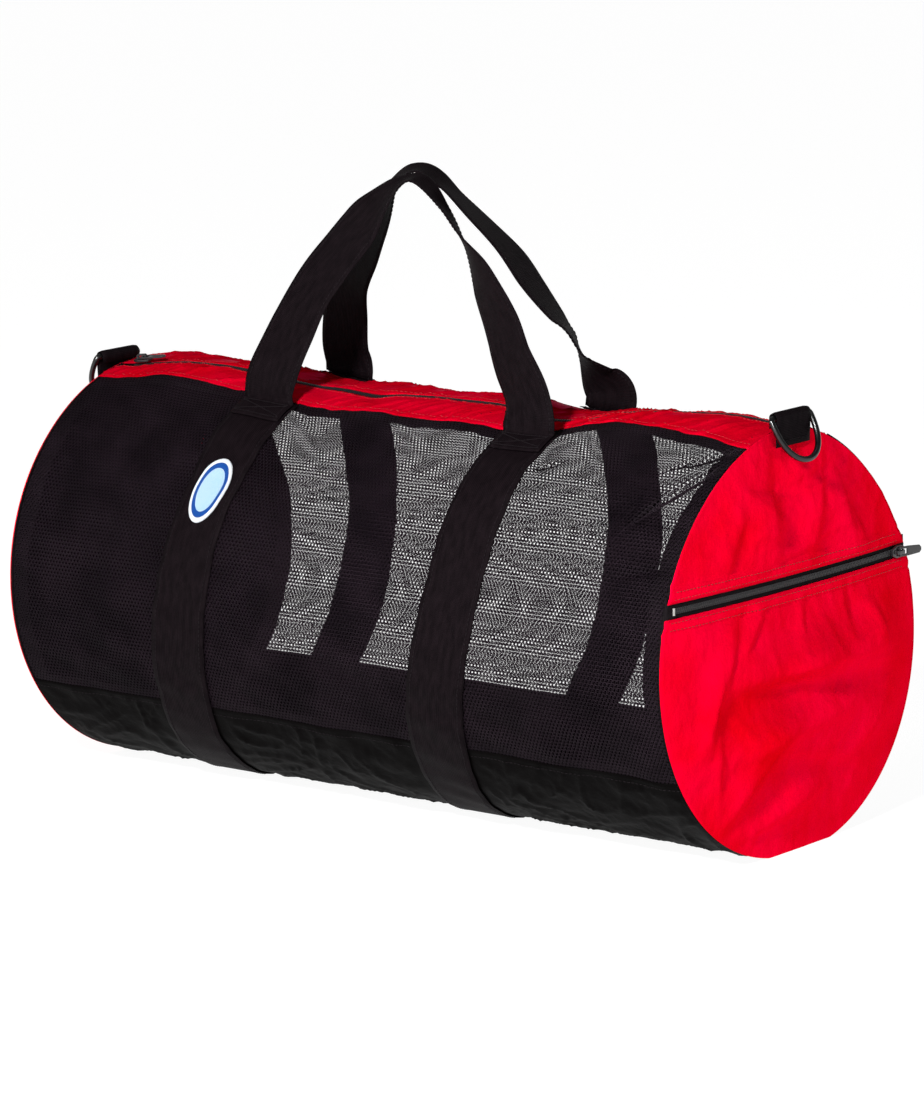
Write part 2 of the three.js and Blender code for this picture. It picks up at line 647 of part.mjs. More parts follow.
// Ring in its own frame: the bar along Y through the origin, the bow hanging to -Z and tipped out to the side
function ringGeometry(side) {
  const wire = RING_WIRE / 2;
  const reach = TAB_WIDTH / 2 + RING_SIDE_GAP + wire;
  const corner = wire * 1.6;
  const bow = spread(0, 180, 16).map(THREE.MathUtils.degToRad).map((turn) => [
    reach * Math.cos(turn) * (1 + 0.04 * Math.sin(turn)),
    corner + (RING_DEPTH - corner - wire) * Math.sin(turn) ** 0.85,
  ]);
  const route = [[-reach + corner * 0.3, corner * 0.3], [-reach + corner, 0], [0, 0], [reach - corner, 0],
    [reach - corner * 0.3, corner * 0.3], ...bow];
  const tilt = THREE.MathUtils.degToRad(RING_TILT);
  const down = new THREE.Vector3(side * Math.sin(tilt), 0, -Math.cos(tilt));
  const facing = new THREE.Vector3(side * Math.cos(tilt), 0, Math.sin(tilt));
  const points = route.map(([y, depth]) => new THREE.Vector3(0, y, 0).addScaledVector(down, depth));
  const sides = 8;
  const sections = points.map((point, step) => {
    const before = points[(step + points.length - 1) % points.length];
    const after = points[(step + 1) % points.length];
    const along = after.clone().sub(before).normalize();
    const across = new THREE.Vector3().crossVectors(along, facing);
    return Array.from({ length: sides }, (_, spoke) => {
      const turn = 2 * Math.PI * spoke / sides;
      return point.clone()
        .addScaledVector(across, wire * Math.cos(turn))
        .addScaledVector(facing, wire * Math.sin(turn));
    });
  });
  return loft(sections, true);
}

function addRings() {
  for (const side of [-1, 1]) {
    const end = side < 0 ? 'left' : 'right';
    add(`ring_tab_${end}`, tabGeometry(side), matte(BLACK_WEB));
    const ring = add(`d_ring_${end}`, ringGeometry(side), matte(BLACK_METAL, 0.3));
    ring.position.set(side * barX, tabSeat(side).y, tabSeat(side).z + TAB_RISE);
  }
}

// Zip sliders and pulls, made in a frame with +X along the zip, +Z off the cloth and the origin on the chain

// Solid between two heights from an outline and an optional window in it
function plate(outline, low, thick, window = null) {
  const shape = new THREE.Shape(outline.map(([x, y]) => new THREE.Vector2(x, y)));
  if (window) {
    shape.holes.push(new THREE.Path(window.map(([x, y]) => new THREE.Vector2(x, y))));
  }
  const geometry = new THREE.ExtrudeGeometry(shape, { depth: thick, bevelEnabled: false });
  return geometry.translate(0, 0, low);
}

const bridgeTop = SLIDER_THICK + BRIDGE_HEIGHT;
const crossbar = PULL_THICK;
const pivotHeight = SLIDER_THICK + PULL_CLEARANCE + crossbar * Math.SQRT1_2;

function sliderGeometry() {
  const long = SLIDER_LENGTH / 2;
  const wide = SLIDER_WIDTH / 2;
  const nose = wide * 0.55;
  const base = plate([
    [-long, -nose], [-long * 0.3, -wide], [long * 0.6, -wide], [long, -wide * 0.8],
    [long, wide * 0.8], [long * 0.6, wide], [-long * 0.3, wide], [-long, nose],
  ], 0, SLIDER_THICK);
  const reach = BRIDGE_LENGTH / 2;
  const inner = reach - BRIDGE_WALL;
  const sunk = SLIDER_THICK / 2;
  const arch = plate([
    [-reach, sunk], [-inner, sunk], [-inner, bridgeTop - BRIDGE_WALL], [inner, bridgeTop - BRIDGE_WALL],
    [inner, sunk], [reach, sunk], [reach, bridgeTop - BRIDGE_WALL], [inner, bridgeTop],
    [-inner, bridgeTop], [-reach, bridgeTop - BRIDGE_WALL],
  ], -BRIDGE_WIDTH / 2, BRIDGE_WIDTH);
  arch.rotateX(Math.PI / 2);
  return fuse(base, arch);
}

// Pull in its own frame: its crossbar through the origin along Y, its plate running to +X
function pullGeometry() {
  const wide = PULL_WIDTH / 2;
  const back = crossbar / 2;
  const tip = PULL_LENGTH - back;
  const slot = BRIDGE_WIDTH / 2 + PULL_CLEARANCE * 2;
  const slotEnd = BRIDGE_LENGTH / 2 + PULL_CLEARANCE + BRIDGE_HEIGHT;
  const outline = [
    [-back, -wide], [slotEnd, -wide], [tip - wide * 0.5, -wide * 0.8], [tip, -wide * 0.3],
    [tip, wide * 0.3], [tip - wide * 0.5, wide * 0.8], [slotEnd, wide], [-back, wide],
  ];
  const window = [[back, -slot], [back, slot], [slotEnd - PULL_RIM, slot], [slotEnd - PULL_RIM, -slot]];
  return plate(outline, -PULL_THICK / 2, PULL_THICK, window);
}

// A slider on its chain with its pull: turn swings the pull up off the cloth from lying along +X
function addSlider(name, frame, turn) {
  add(`${name}_slider`, sliderGeometry(), matte(BLACK_METAL, 0.35), frame);
  const pull = add(`${name}_pull`, pullGeometry(), matte(BLACK_METAL, 0.35), frame);
  pull.position.set(0, 0, pivotHeight);
  pull.rotation.y = -THREE.MathUtils.degToRad(turn);
  bag.add(frame);
}

function addSliders() {
  const chainTop = tapeOut + TAPE_GAP + CHAIN_THICK + TAPE_GAP;
  const mainX = -(half - CHAIN_END - SLIDER_LENGTH / 2);
  const onZip = (x, out) => skin(x, topAt(x, 'zip'), out);
  const main = new THREE.Group();
  main.position.copy(onZip(mainX, chainTop + SEAM_GAP));
  const along = onZip(mainX + SLIDER_LENGTH, 0).sub(onZip(mainX, 0)).normalize();
  const outward = onZip(mainX, 1).sub(onZip(mainX, 0));
  const across = outward.cross(along).normalize();
  const off = new THREE.Vector3().crossVectors(along, across);
  main.setRotationFromMatrix(new THREE.Matrix4().makeBasis(along, across, off));
  addSlider('main_zip', main, 0);

  const pocket = new THREE.Group();
  const seat = onPocketZip(POCKET_CHAIN_END + SLIDER_LENGTH / 2);
  const base = half + SEAM_GAP + endSwell(seat.y, seat.z, false);
  pocket.position.set(base + CHAIN_THICK + SEAM_GAP * 2, seat.y, seat.z);
  pocket.rotation.set(Math.PI / 2, Math.PI / 2, 0);
  addSlider('pocket_zip', pocket, 12);
}

// Oval badge that follows the strap it is sewn to
function addBadge() {
  const spokes = 20;
  const out = strapOut + LAYER_GAP;
  const at = (share, spoke, extra) => {
    const turn = 2 * Math.PI * spoke / spokes;
    const down = share * BADGE_LENGTH / 2 * Math.cos(turn);
    const around = BADGE_AROUND + degreesOf(down);
    const x = strapX(LEFT_STRAP, around) + share * BADGE_WIDTH / 2 * Math.sin(turn);
    return skin(x, around, out + extra);
  };
  const rings = [0, 0.5, 1];
  const sections = Array.from({ length: spokes }, (_, spoke) => {
    const outer = rings.map((share) => at(share, spoke, BADGE_THICK));
    const inner = rings.map((share) => at(share, spoke, 0));
    return sheetSection(outer, inner);
  });
  add('oval_badge', loft(sections, true), matte(BADGE_BLUE, 0.5));
}

addLongPanels();
addBottom();
addStraps();
addHandles();
addEnds();
addBindings();
addRings();
addSliders();
addBadge();

export default bag;
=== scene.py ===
import math

import bmesh
import bpy
import numpy as np
from mathutils import Matrix, Vector


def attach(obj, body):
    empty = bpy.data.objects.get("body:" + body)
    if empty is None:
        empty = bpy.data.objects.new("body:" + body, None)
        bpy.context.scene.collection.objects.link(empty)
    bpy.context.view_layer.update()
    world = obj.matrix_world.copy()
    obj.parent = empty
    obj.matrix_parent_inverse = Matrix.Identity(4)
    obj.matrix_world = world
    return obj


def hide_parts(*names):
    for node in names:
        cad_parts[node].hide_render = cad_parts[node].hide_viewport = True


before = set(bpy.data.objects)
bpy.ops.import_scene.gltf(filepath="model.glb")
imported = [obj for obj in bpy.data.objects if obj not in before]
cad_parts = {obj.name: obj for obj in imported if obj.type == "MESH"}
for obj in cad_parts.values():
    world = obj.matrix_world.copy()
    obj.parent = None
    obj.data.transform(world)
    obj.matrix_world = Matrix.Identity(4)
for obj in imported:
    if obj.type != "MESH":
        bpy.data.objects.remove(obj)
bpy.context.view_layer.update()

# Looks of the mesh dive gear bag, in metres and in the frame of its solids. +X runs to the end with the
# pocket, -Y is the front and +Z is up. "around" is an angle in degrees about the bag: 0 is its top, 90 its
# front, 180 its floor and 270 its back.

MM = 0.001

# Sizes of the body, as the solids have them
HALF = 381 * MM
WIDTH = 386 * MM
HEIGHT = 381 * MM
REST_WIDTH = 64 * MM
END_BULGE = 9 * MM
POCKET_FULLNESS = 7 * MM
CROWN_SPREAD = 55
SLUMP = 10 * MM
FRONT_SEAM = 120
BACK_SEAM = -132
CLOTH = 1.0 * MM
SEAM_GAP = 0.4 * MM
LAYER_GAP = 0.6 * MM
TAPE_OUT = -1.5 * MM
TAPE_THICK = 0.6 * MM
BINDING_OUT = -2.6 * MM
BINDING_WIDTH = 19 * MM
STRAP_WIDTH = 62 * MM
STRAP_THICK = 1.8 * MM
HANDLE_WIDTH = 58 * MM
FRONT_FOLD = 22
BACK_FOLD = 342
TAIL_ARC = 8
FRONT_RISE = 205 * MM
BACK_RISE = 208 * MM
ZIP_OPENING = 9 * MM
ZIP_TAPE = 26 * MM
CHAIN_WIDTH = 5.5 * MM
CHAIN_END = 18 * MM
POCKET_ZIP_HEIGHT = 246.5 * MM
POCKET_ZIP_OPENING = 13 * MM
TAB_WIDTH = 51 * MM
TAB_RISE = 11 * MM
TAB_HANG = 26 * MM
TAB_INSET = 2.3 * MM
RING_WIRE = 5.5 * MM
RING_DEPTH = 45 * MM
RING_TILT = 27
BADGE_LENGTH = 66 * MM
BADGE_WIDTH = 39 * MM
BADGE_AROUND = 55.5

# Looks only: the net and what shows through it, zips, and steps along the webbing
NET_PITCH = 4.0 * MM
NET_HOLE = 1.98 * MM
NET_OUT = -0.6 * MM
NET_LOWEST = 0.2 * MM
NET_SWELL = 1.3 * MM
NET_SWELL_LENGTH = 150 * MM
NET_RIPPLE = 0.45 * MM
NET_RIPPLE_LENGTH = 46 * MM
NET_FOLD_OUT = -1.0 * MM
SEAM_BAND_OUT = -1.6 * MM
SEAM_BAND_THICK = 0.5 * MM
TAPE_INSET = 9.5 * MM
TOOTH_PITCH = 1.25 * MM
TOOTH_HEIGHT = 1.7 * MM
TOOTH_HALF = 0.62 * MM
RIBBON_COLUMNS = 11
MIDDLE_COLUMN = 5
SEWN_COLUMNS = (1, 9)
LOOP_STEPS = 12

# Creases of the net: start and end as X in mm and degrees around, depth and half width in mm
NET_CREASES = [
    (378, 19, 320, 33, 4.5, 4.0),
    (379, 26, 310, 53, 4.5, 4.0),
    (376, 60, 300, 66, 2.5, 5.0),
    (188, 36, 214, 31, 3.0, 3.0),
    (-110, 24, -60, 34, 2.0, 4.0),
    (92, 36, 60, 47, 2.0, 5.0),
]

rest_angle = math.asin(REST_WIDTH / WIDTH)
AXIS = HEIGHT / 2 * math.cos(rest_angle)

# Rows of the solids' tables: along, crown, zip, front edge, back edge
TOP = np.array([
    (-1.00, 0.008, 10.0, 18.6, -18.5), (-0.90, 0.017, 8.0, 18.4, -18.5), (-0.79, 0.019, 6.2, 16.8, -18.0),
    (-0.68, 0.017, 5.0, 16.0, -18.0), (-0.58, 0.009, 4.4, 15.9, -17.5), (-0.50, 0.002, 4.4, 16.2, -17.0),
    (-0.43, -0.003, 5.0, 17.0, -17.0), (-0.36, -0.006, 5.5, 18.0, -17.0), (-0.29, -0.007, 6.8, 18.8, -17.0),
    (-0.21, -0.006, 8.2, 19.4, -16.5), (-0.14, -0.005, 8.6, 19.5, -16.0), (-0.08, -0.004, 4.0, 19.3, -16.0),
    (0.00, -0.003, 2.4, 19.8, -16.0), (0.08, -0.002, 3.6, 19.9, -16.0), (0.16, -0.003, 5.0, 19.3, -16.5),
    (0.24, -0.006, 5.6, 19.8, -17.0), (0.31, -0.011, 7.6, 20.3, -17.5), (0.38, -0.015, 9.6, 18.6, -18.0),
    (0.44, -0.011, 9.0, 15.8, -18.0), (0.51, -0.001, 5.0, 12.6, -18.0), (0.58, 0.008, 1.0, 11.6, -18.0),
    (0.68, 0.015, 0.0, 12.6, -18.0), (0.80, 0.019, -1.0, 15.2, -18.0), (0.91, 0.017, -0.5, 17.0, -18.5),
    (1.00, 0.008, 0.0, 18.2, -18.5),
])
TOP_COLUMN = {"crown": 1, "zip": 2, "front": 3, "back": 4}

# Middles of the straps: around, along
LEFT_STRAP = np.array([
    (15, -0.410), (55, -0.404), (85, -0.433), (113, -0.475), (150, -0.545), (190, -0.640), (225, -0.715),
    (261, -0.698), (285, -0.665), (317, -0.575), (345, -0.435),
])
RIGHT_STRAP = np.array([
    (15, 0.393), (52, 0.399), (76, 0.392), (102, 0.345), (120, 0.307), (150, 0.245), (190, 0.170),
    (225, 0.118), (253, 0.136), (279, 0.173), (319, 0.278), (345, 0.380),
])

# Handle loops: across, rise, lean, turn, wide
FRONT_HANDLE = [
    (0.000, 0.050, 1.00, 0, 1.00), (0.014, 0.144, 0.95, 0, 1.00), (0.042, 0.317, 0.73, 7, 1.00),
    (0.092, 0.505, 0.54, 17, 1.00), (0.166, 0.662, 0.40, 22, 1.00), (0.260, 0.822, 0.31, 25, 1.00),
    (0.352, 0.958, 0.25, 48, 0.70), (0.445, 1.020, 0.23, 86, 0.52), (0.556, 0.895, 0.26, 112, 0.50),
    (0.618, 0.767, 0.26, 126, 0.72), (0.704, 0.609, 0.36, 152, 1.00), (0.825, 0.406, 0.57, 167, 1.00),
    (0.893, 0.277, 0.73, 170, 1.00), (0.975, 0.144, 0.92, 176, 1.00), (1.000, 0.050, 0.99, 180, 1.00),
]
BACK_HANDLE = [
    (0.000, 0.050, 1.00, 0, 1.00), (0.000, 0.140, 0.92, 0, 1.00), (0.028, 0.305, 0.79, 3, 1.00),
    (0.075, 0.470, 0.64, 12, 1.00), (0.164, 0.642, 0.50, 20, 1.00), (0.260, 0.817, 0.38, 32, 0.86),
    (0.346, 0.965, 0.28, 58, 0.62), (0.438, 1.000, 0.24, 90, 0.58), (0.532, 0.915, 0.26, 108, 0.78),
    (0.632, 0.800, 0.28, 107, 1.00), (0.730, 0.662, 0.38, 105, 1.00), (0.794, 0.522, 0.49, 105, 1.00),
    (0.862, 0.372, 0.66, 112, 1.00), (0.900, 0.300, 0.74, 121, 1.00), (0.925, 0.195, 0.85, 134, 1.00),
    (0.962, 0.105, 0.94, 155, 1.00), (1.000, 0.050, 1.00, 178, 1.00),
]


# Curves and the bag's skin

def smooth(keys, values, at):
    """Value on a smooth curve through the rows of a table."""
    slopes = np.gradient(values, keys)
    at = np.clip(at, keys[0], keys[-1])
    low = np.clip(np.searchsorted(keys, at) - 1, 0, len(keys) - 2)
    step = keys[low + 1] - keys[low]
    share = (at - keys[low]) / step
    rise = values[low + 1] - values[low]
    bend = (slopes[low] * step - rise) * (1 - share) + (rise - slopes[low + 1] * step) * share
    return values[low] + rise * share + share * (1 - share) * bend


def top_at(x, column):
    return smooth(TOP[:, 0], TOP[:, TOP_COLUMN[column]], np.asarray(x) / HALF)


def strap_x(strap, around):
    return smooth(strap[:, 0], strap[:, 1], np.asarray(around, float)) * HALF


def ease(low, high, value):
    share = np.clip((value - low) / (high - low), 0, 1)
    return share * share * (3 - 2 * share)


def degrees_of(length):
    """Degrees around the bag that a length along its section takes."""
    return math.degrees(2 * length / HEIGHT)


def unit(vectors):
    return vectors / np.linalg.norm(vectors, axis=-1, keepdims=True)


def run_along(path):
    """Length along a path at each of its points."""
    return np.concatenate([[0], np.cumsum(np.linalg.norm(np.diff(path, axis=0), axis=1))])


def waves(places, seed, length, count=7):
    """Soft random relief over points with two coordinates in metres, about -1 to 1."""
    rng = np.random.default_rng(seed)
    total = 0
    for _ in range(count):
        heading = rng.uniform(0, 2 * math.pi)
        pace = 2 * math.pi / (length * rng.uniform(0.7, 1.5))
        across = places[0] * math.cos(heading) + places[1] * math.sin(heading)
        total = total + np.sin(across * pace + rng.uniform(0, 2 * math.pi))
    return total / math.sqrt(count)


def creases(places, seed, length):
    """Sharp-backed random folds, 0 to 1, from the places where soft relief crosses zero."""
    drift = 0.35 * length
    bent = [place + drift * waves(places, seed + step, length * 2.3, 4)
            for place, step in zip(places, (50, 60))]
    return np.exp(-np.abs(waves(bent, seed, length, 5)) * 2.6)


def relief(x, around):
    """How far cloth stands off the plain skin: swells and ripples that end at the seams, and creases."""
    x, around = np.broadcast_arrays(np.asarray(x, float), np.asarray(around, float))
    turn = np.where(around > 180, around - 360, around)
    arc = np.radians(turn) * HEIGHT / 2
    swell = NET_SWELL * waves((x, arc * 1.4), 3, NET_SWELL_LENGTH)
    ripple = NET_RIPPLE * waves((x, arc * 1.6), 9, NET_RIPPLE_LENGTH)
    off_floor = ease(160, 140, np.abs(turn))
    off_end = ease(0, 30 * MM, HALF - np.abs(x))
    total = (swell + ripple) * off_floor * off_end
    for x0, turn0, x1, turn1, depth, half_width in NET_CREASES:
        start = np.array([x0 * MM, math.radians(turn0) * HEIGHT / 2])
        run = np.array([x1 * MM, math.radians(turn1) * HEIGHT / 2]) - start
        length = np.linalg.norm(run)
        run /= length
        along = (x - start[0]) * run[0] + (arc - start[1]) * run[1]
        aside = (x - start[0]) * run[1] - (arc - start[1]) * run[0]
        reach = ease(0, 0.12, along / length) * ease(1.0, 0.55, along / length)
        total = total - depth * MM * reach * np.exp(-(aside / (half_width * MM)) ** 2)
    return total


def skin(x, around, out=0.0, floor=0.0, bare=False):
    """Points on the bag's skin, or out metres outside it, and never under the floor height."""
    x, around, out = np.broadcast_arrays(*[np.asarray(value, float) for value in (x, around, out)])
    turn = np.radians(around)
    near_top = np.abs(np.where(around > 180, around - 360, around))
    share = np.where(near_top < CROWN_SPREAD, np.cos(np.pi / 2 * near_top / CROWN_SPREAD) ** 2, 0)
    crown = HEIGHT * top_at(x, "crown") * share
    behind = (around < 0) | (around > 180)
    slump = np.where(behind, SLUMP * ease(0, HALF, x) * np.sin(2 * turn), 0)
    grown = out + slump + (0 if bare else relief(x, around))
    y = -(WIDTH / 2 + grown) * np.sin(turn)
    z = AXIS + (HEIGHT / 2 + grown + crown) * np.cos(turn)
    return np.stack([x, y, np.maximum(z, floor)], axis=-1)


def off_axis(y, z):
    """Distance from the bag's axis as a share of its section, 1 at the rim of an end."""
    return np.hypot(2 * y / WIDTH, 2 * (z - AXIS) / HEIGHT)


def end_swell(y, z):
    """How far an end without folds stands out."""
    return END_BULGE * np.maximum(0, 1 - off_axis(y, z) ** 2)


# Meshes

def make(name, points, faces, materials, nodes=(), body="bag", uv=None, pick=None, soft=True):
    """Object from points and faces of one size; uv holds a pair a point, pick a material's number a face."""
    points = np.asarray(points, float).reshape(-1, 3)
    faces = np.asarray(faces, int)
    count, size = faces.shape
    mesh = bpy.data.meshes.new(name)
    mesh.vertices.add(len(points))
    mesh.vertices.foreach_set("co", points.ravel())
    mesh.loops.add(count * size)
    mesh.loops.foreach_set("vertex_index", faces.ravel())
    mesh.polygons.add(count)
    mesh.polygons.foreach_set("loop_start", np.arange(count) * size)
    mesh.update(calc_edges=True)
    mesh.polygons.foreach_set("use_smooth", np.full(count, soft))
    for material in materials:
        mesh.materials.append(material)
    if pick is not None:
        mesh.polygons.foreach_set("material_index", np.asarray(pick, int))
    if uv is not None:
        layer = mesh.uv_layers.new(name="UVMap")
        layer.data.foreach_set("uv", np.asarray(uv, float).reshape(-1, 2)[faces.ravel()].ravel())
    mesh.validate()
    piece = bpy.data.objects.new(name, mesh)
    bpy.context.scene.collection.objects.link(piece)
    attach(piece, body)
    if nodes:
        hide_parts(*nodes)


def grid_faces(rows, columns, start=0, closed=False, flip=False):
    """Quads of a grid of points; closed joins the last column to the first."""
    across = columns if closed else columns - 1
    row, column = np.meshgrid(np.arange(rows - 1), np.arange(across), indexing="ij")
    after = (column + 1) % columns
    quads = np.stack([row * columns + column, (row + 1) * columns + column,
                      (row + 1) * columns + after, row * columns + after], axis=-1).reshape(-1, 4)
    return (quads[:, ::-1] if flip else quads) + start


def repeated(faces, size, count):
    """Faces of count copies of a small mesh that has size points."""
    starts = np.arange(count) * size
    return (faces + starts[:, None, None]).reshape(-1, faces.shape[1])


def slab(name, outer, inner, materials, nodes=(), uv=None, flip=False, inside=0):
    """Closed sheet from a grid of outer points and one of inner ones; inside picks the inner material."""
    rows, columns = outer.shape[:2]
    size = rows * columns
    top = grid_faces(rows, columns, flip=flip)
    low = grid_faces(rows, columns, size, flip=not flip)
    number = np.arange(size).reshape(rows, columns)
    rim = np.concatenate([number[0], number[1:, -1], number[-1, -2::-1], number[-2:0:-1, 0]])
    after = np.roll(rim, -1)
    side = np.stack([rim, rim + size, after + size, after], axis=-1)
    if not flip:
        side = side[:, ::-1]
    faces = np.concatenate([top, low, side])
    pick = np.concatenate([np.zeros(len(top)), np.full(len(low), inside), np.zeros(len(side))])
    points = np.concatenate([outer.reshape(-1, 3), inner.reshape(-1, 3)])
    both = None if uv is None else np.concatenate([uv.reshape(-1, 2)] * 2)
    make(name, points, faces, materials, nodes, uv=both, pick=pick)


def pairs(first, second):
    """UV pairs for a grid of points."""
    return np.stack(np.broadcast_arrays(first, second), axis=-1)


def tube(path, radius, sides, closed=False):
    """Points and faces of a round bar along a path."""
    path = np.asarray(path, float)
    if closed:
        along = unit(np.roll(path, -1, axis=0) - np.roll(path, 1, axis=0))
    else:
        along = unit(np.gradient(path, axis=0))
    guide = np.array([0.0, 0.0, 1.0]) if abs(along[:, 2]).mean() < 0.8 else np.array([0.0, 1.0, 0.0])
    across = unit(np.cross(along, guide))
    up = np.cross(across, along)
    turns = np.linspace(0, 2 * math.pi, sides, endpoint=False)
    ring = (path[:, None] + radius * np.cos(turns)[None, :, None] * across[:, None]
            + radius * np.sin(turns)[None, :, None] * up[:, None])
    if closed:
        ring = np.concatenate([ring, ring[:1]])
    return ring.reshape(-1, 3), grid_faces(len(ring), sides, closed=True)


def stitches(name, lines, thread, length=3.2 * MM, gap=1.3 * MM, radius=0.38 * MM):
    """Rows of sewn stitches: each line is a path of points that lie on the cloth."""
    spots, headings = [], []
    for line in lines:
        run = run_along(line)
        places = np.arange(length / 2, run[-1] - length / 2, length + gap)
        spot, ahead = [np.stack([np.interp(at, run, line[:, axis]) for axis in range(3)], axis=-1)
                       for at in (places, places + length / 4)]
        off_floor = spot[:, 2] > 2 * radius
        heading = (ahead - spot)[off_floor]
        spots.append(spot[off_floor])
        headings.append(heading / np.maximum(np.linalg.norm(heading, axis=1, keepdims=True), 1e-9))
    spots = np.concatenate(spots)
    headings = np.concatenate(headings)
    guide = np.where(np.abs(headings[:, 2:3]) < 0.8, [[0, 0, 1.0]], [[0, 1.0, 0]])
    across = unit(np.cross(headings, guide))
    up = np.cross(across, headings)
    rings = []
    for share, size in ((-0.5, 0.35), (-0.28, 1.0), (0.28, 1.0), (0.5, 0.35)):
        for turn in np.radians([45, 135, 225, 315]):
            rings.append(spots + headings * share * length
                         + (across * math.cos(turn) + up * math.sin(turn)) * radius * size)
    one = np.concatenate([grid_faces(4, 4, closed=True), [[0, 1, 2, 3], [15, 14, 13, 12]]])
    make(name, np.stack(rings, axis=1), repeated(one, len(rings), len(spots)), [thread])


# Materials

def shader(name, color, roughness, **values):
    """Principled material, its node tree and its main node, with plain values on its sockets."""
    material = bpy.data.materials.new(name)
    material.use_nodes = True
    tree = material.node_tree
    main = tree.nodes["Principled BSDF"]
    main.inputs["Base Color"].default_value = (*linear(color), 1)
    main.inputs["Roughness"].default_value = roughness
    for key, value in values.items():
        main.inputs[key.replace("_", " ")].default_value = value
    return material, tree, main


def linear(color):
    """Linear colour from one in 0 to 255."""
    shares = [value / 255 for value in color]
    return [share / 12.92 if share <= 0.04045 else ((share + 0.055) / 1.055) ** 2.4 for share in shares]


def node(tree, kind, **inputs):
    made = tree.nodes.new(kind)
    for key, value in inputs.items():
        made.inputs[key.replace("_", " ")].default_value = value
    return made


def scaled(tree, source, scale):
    """Coordinates of one source, Generated, UV or Object, times a scale."""
    place = tree.nodes.new("ShaderNodeTexCoord")
    mapping = tree.nodes.new("ShaderNodeMapping")
    mapping.inputs["Scale"].default_value = scale if isinstance(scale, tuple) else (scale,) * 3
    tree.links.new(place.outputs[source], mapping.inputs["Vector"])
    return mapping.outputs["Vector"]


def noise(tree, source, scale, detail=3.0, roughness=0.55):
    made = node(tree, "ShaderNodeTexNoise", Scale=1.0, Detail=detail, Roughness=roughness)
    tree.links.new(scaled(tree, source, scale), made.inputs["Vector"])
    return made.outputs["Fac"]


def weave(tree, source, scale_u, scale_v):
    """Over and under of woven threads: two crossing waves."""
    made = []
    for scale, direction in ((scale_u, "X"), (scale_v, "Y")):
        wave = tree.nodes.new("ShaderNodeTexWave")
        wave.bands_direction = direction
        wave.inputs["Scale"].default_value = 1.0
        tree.links.new(scaled(tree, source, scale), wave.inputs["Vector"])
        made.append(wave.outputs["Fac"])
    return math_node(tree, "MULTIPLY", *made)


def math_node(tree, operation, first, second):
    made = tree.nodes.new("ShaderNodeMath")
    made.operation = operation
    for index, value in enumerate((first, second)):
        if isinstance(value, (int, float)):
            made.inputs[index].default_value = value
        else:
            tree.links.new(value, made.inputs[index])
    return made.outputs[0]


def bump(tree, main, height, strength, distance, under=None):
    made = node(tree, "ShaderNodeBump", Strength=strength, Distance=distance)
    tree.links.new(height, made.inputs["Height"])
    if under is not None:
        tree.links.new(under, made.inputs["Normal"])
    tree.links.new(made.outputs["Normal"], main.inputs["Normal"])
    return made.outputs["Normal"]


def tint(tree, main, factor, low, high, low_at=0.35, high_at=0.65):
    """Base colour that runs between two colours with a factor."""
    ramp = tree.nodes.new("ShaderNodeValToRGB")
    ramp.color_ramp.elements[0].position = low_at
    ramp.color_ramp.elements[0].color = (*linear(low), 1)
    ramp.color_ramp.elements[1].position = high_at
    ramp.color_ramp.elements[1].color = (*linear(high), 1)
    tree.links.new(factor, ramp.inputs["Fac"])
    tree.links.new(ramp.outputs["Color"], main.inputs["Base Color"])


def red_nylon(name, low, high):
    """Thin shiny cloth: crinkles over a fine weave, with a deep pink sheen at its edges."""
    material, tree, main = shader(name, low, 0.36, Metallic=0.35, Specular_IOR_Level=0.0,
                                  Specular_Tint=(1.0, 0.1, 0.35, 1))
    tint(tree, main, noise(tree, "Object", 9.0, 4.0), low, high)
    crinkle = noise(tree, "Object", (34.0, 34.0, 26.0), 5.0, 0.6)
    fine = bump(tree, main, weave(tree, "Object", 420.0, 420.0), 0.10, 0.0003)
    bump(tree, main, crinkle, 0.55, 0.0045, fine)
    return material


def black_nylon(name, color, roughness, crinkle_scale=45.0, strength=0.4):
    material, tree, main = shader(name, color, roughness, Specular_IOR_Level=0.02)
    lift = tuple(value + 4 for value in color)
    tint(tree, main, noise(tree, "Object", 14.0, 4.0), color, lift)
    fine = bump(tree, main, weave(tree, "Object", 420.0, 420.0), 0.10, 0.0003)
    bump(tree, main, noise(tree, "Object", crinkle_scale, 5.0, 0.6), strength, 0.003, fine)
    return material


def webbing():
    """Woven tape: ribs across it, fine rows along it and a denser edge."""
    material, tree, main = shader("webbing", (27, 20, 23), 0.62, Specular_IOR_Level=0.03)
    tint(tree, main, noise(tree, "UV", (220.0, 60.0, 1.0), 3.0), (9, 5, 7), (17, 11, 14))
    fine = bump(tree, main, weave(tree, "UV", (160.0, 160.0, 1.0), (210.0, 210.0, 1.0)), 0.55, 0.0006)
    bump(tree, main, noise(tree, "UV", (10.0, 24.0, 1.0), 3.0), 0.25, 0.002, fine)
    return material


def net_thread():
    material, tree, main = shader("net_thread", (20, 14, 18), 0.6, Specular_IOR_Level=0.04)
    tint(tree, main, noise(tree, "Object", 20.0, 2.0), (20, 14, 19), (30, 22, 28))
    return material


def hard_black(name, color, roughness, coat=0.0):
    material, tree, main = shader(name, color, roughness, Coat_Weight=coat, Coat_Roughness=0.08)
    wear = noise(tree, "Object", 240.0, 3.0)
    tint(tree, main, wear, color, tuple(value + 8 for value in color), 0.45, 0.75)
    bump(tree, main, wear, 0.08, 0.0004)
    return material


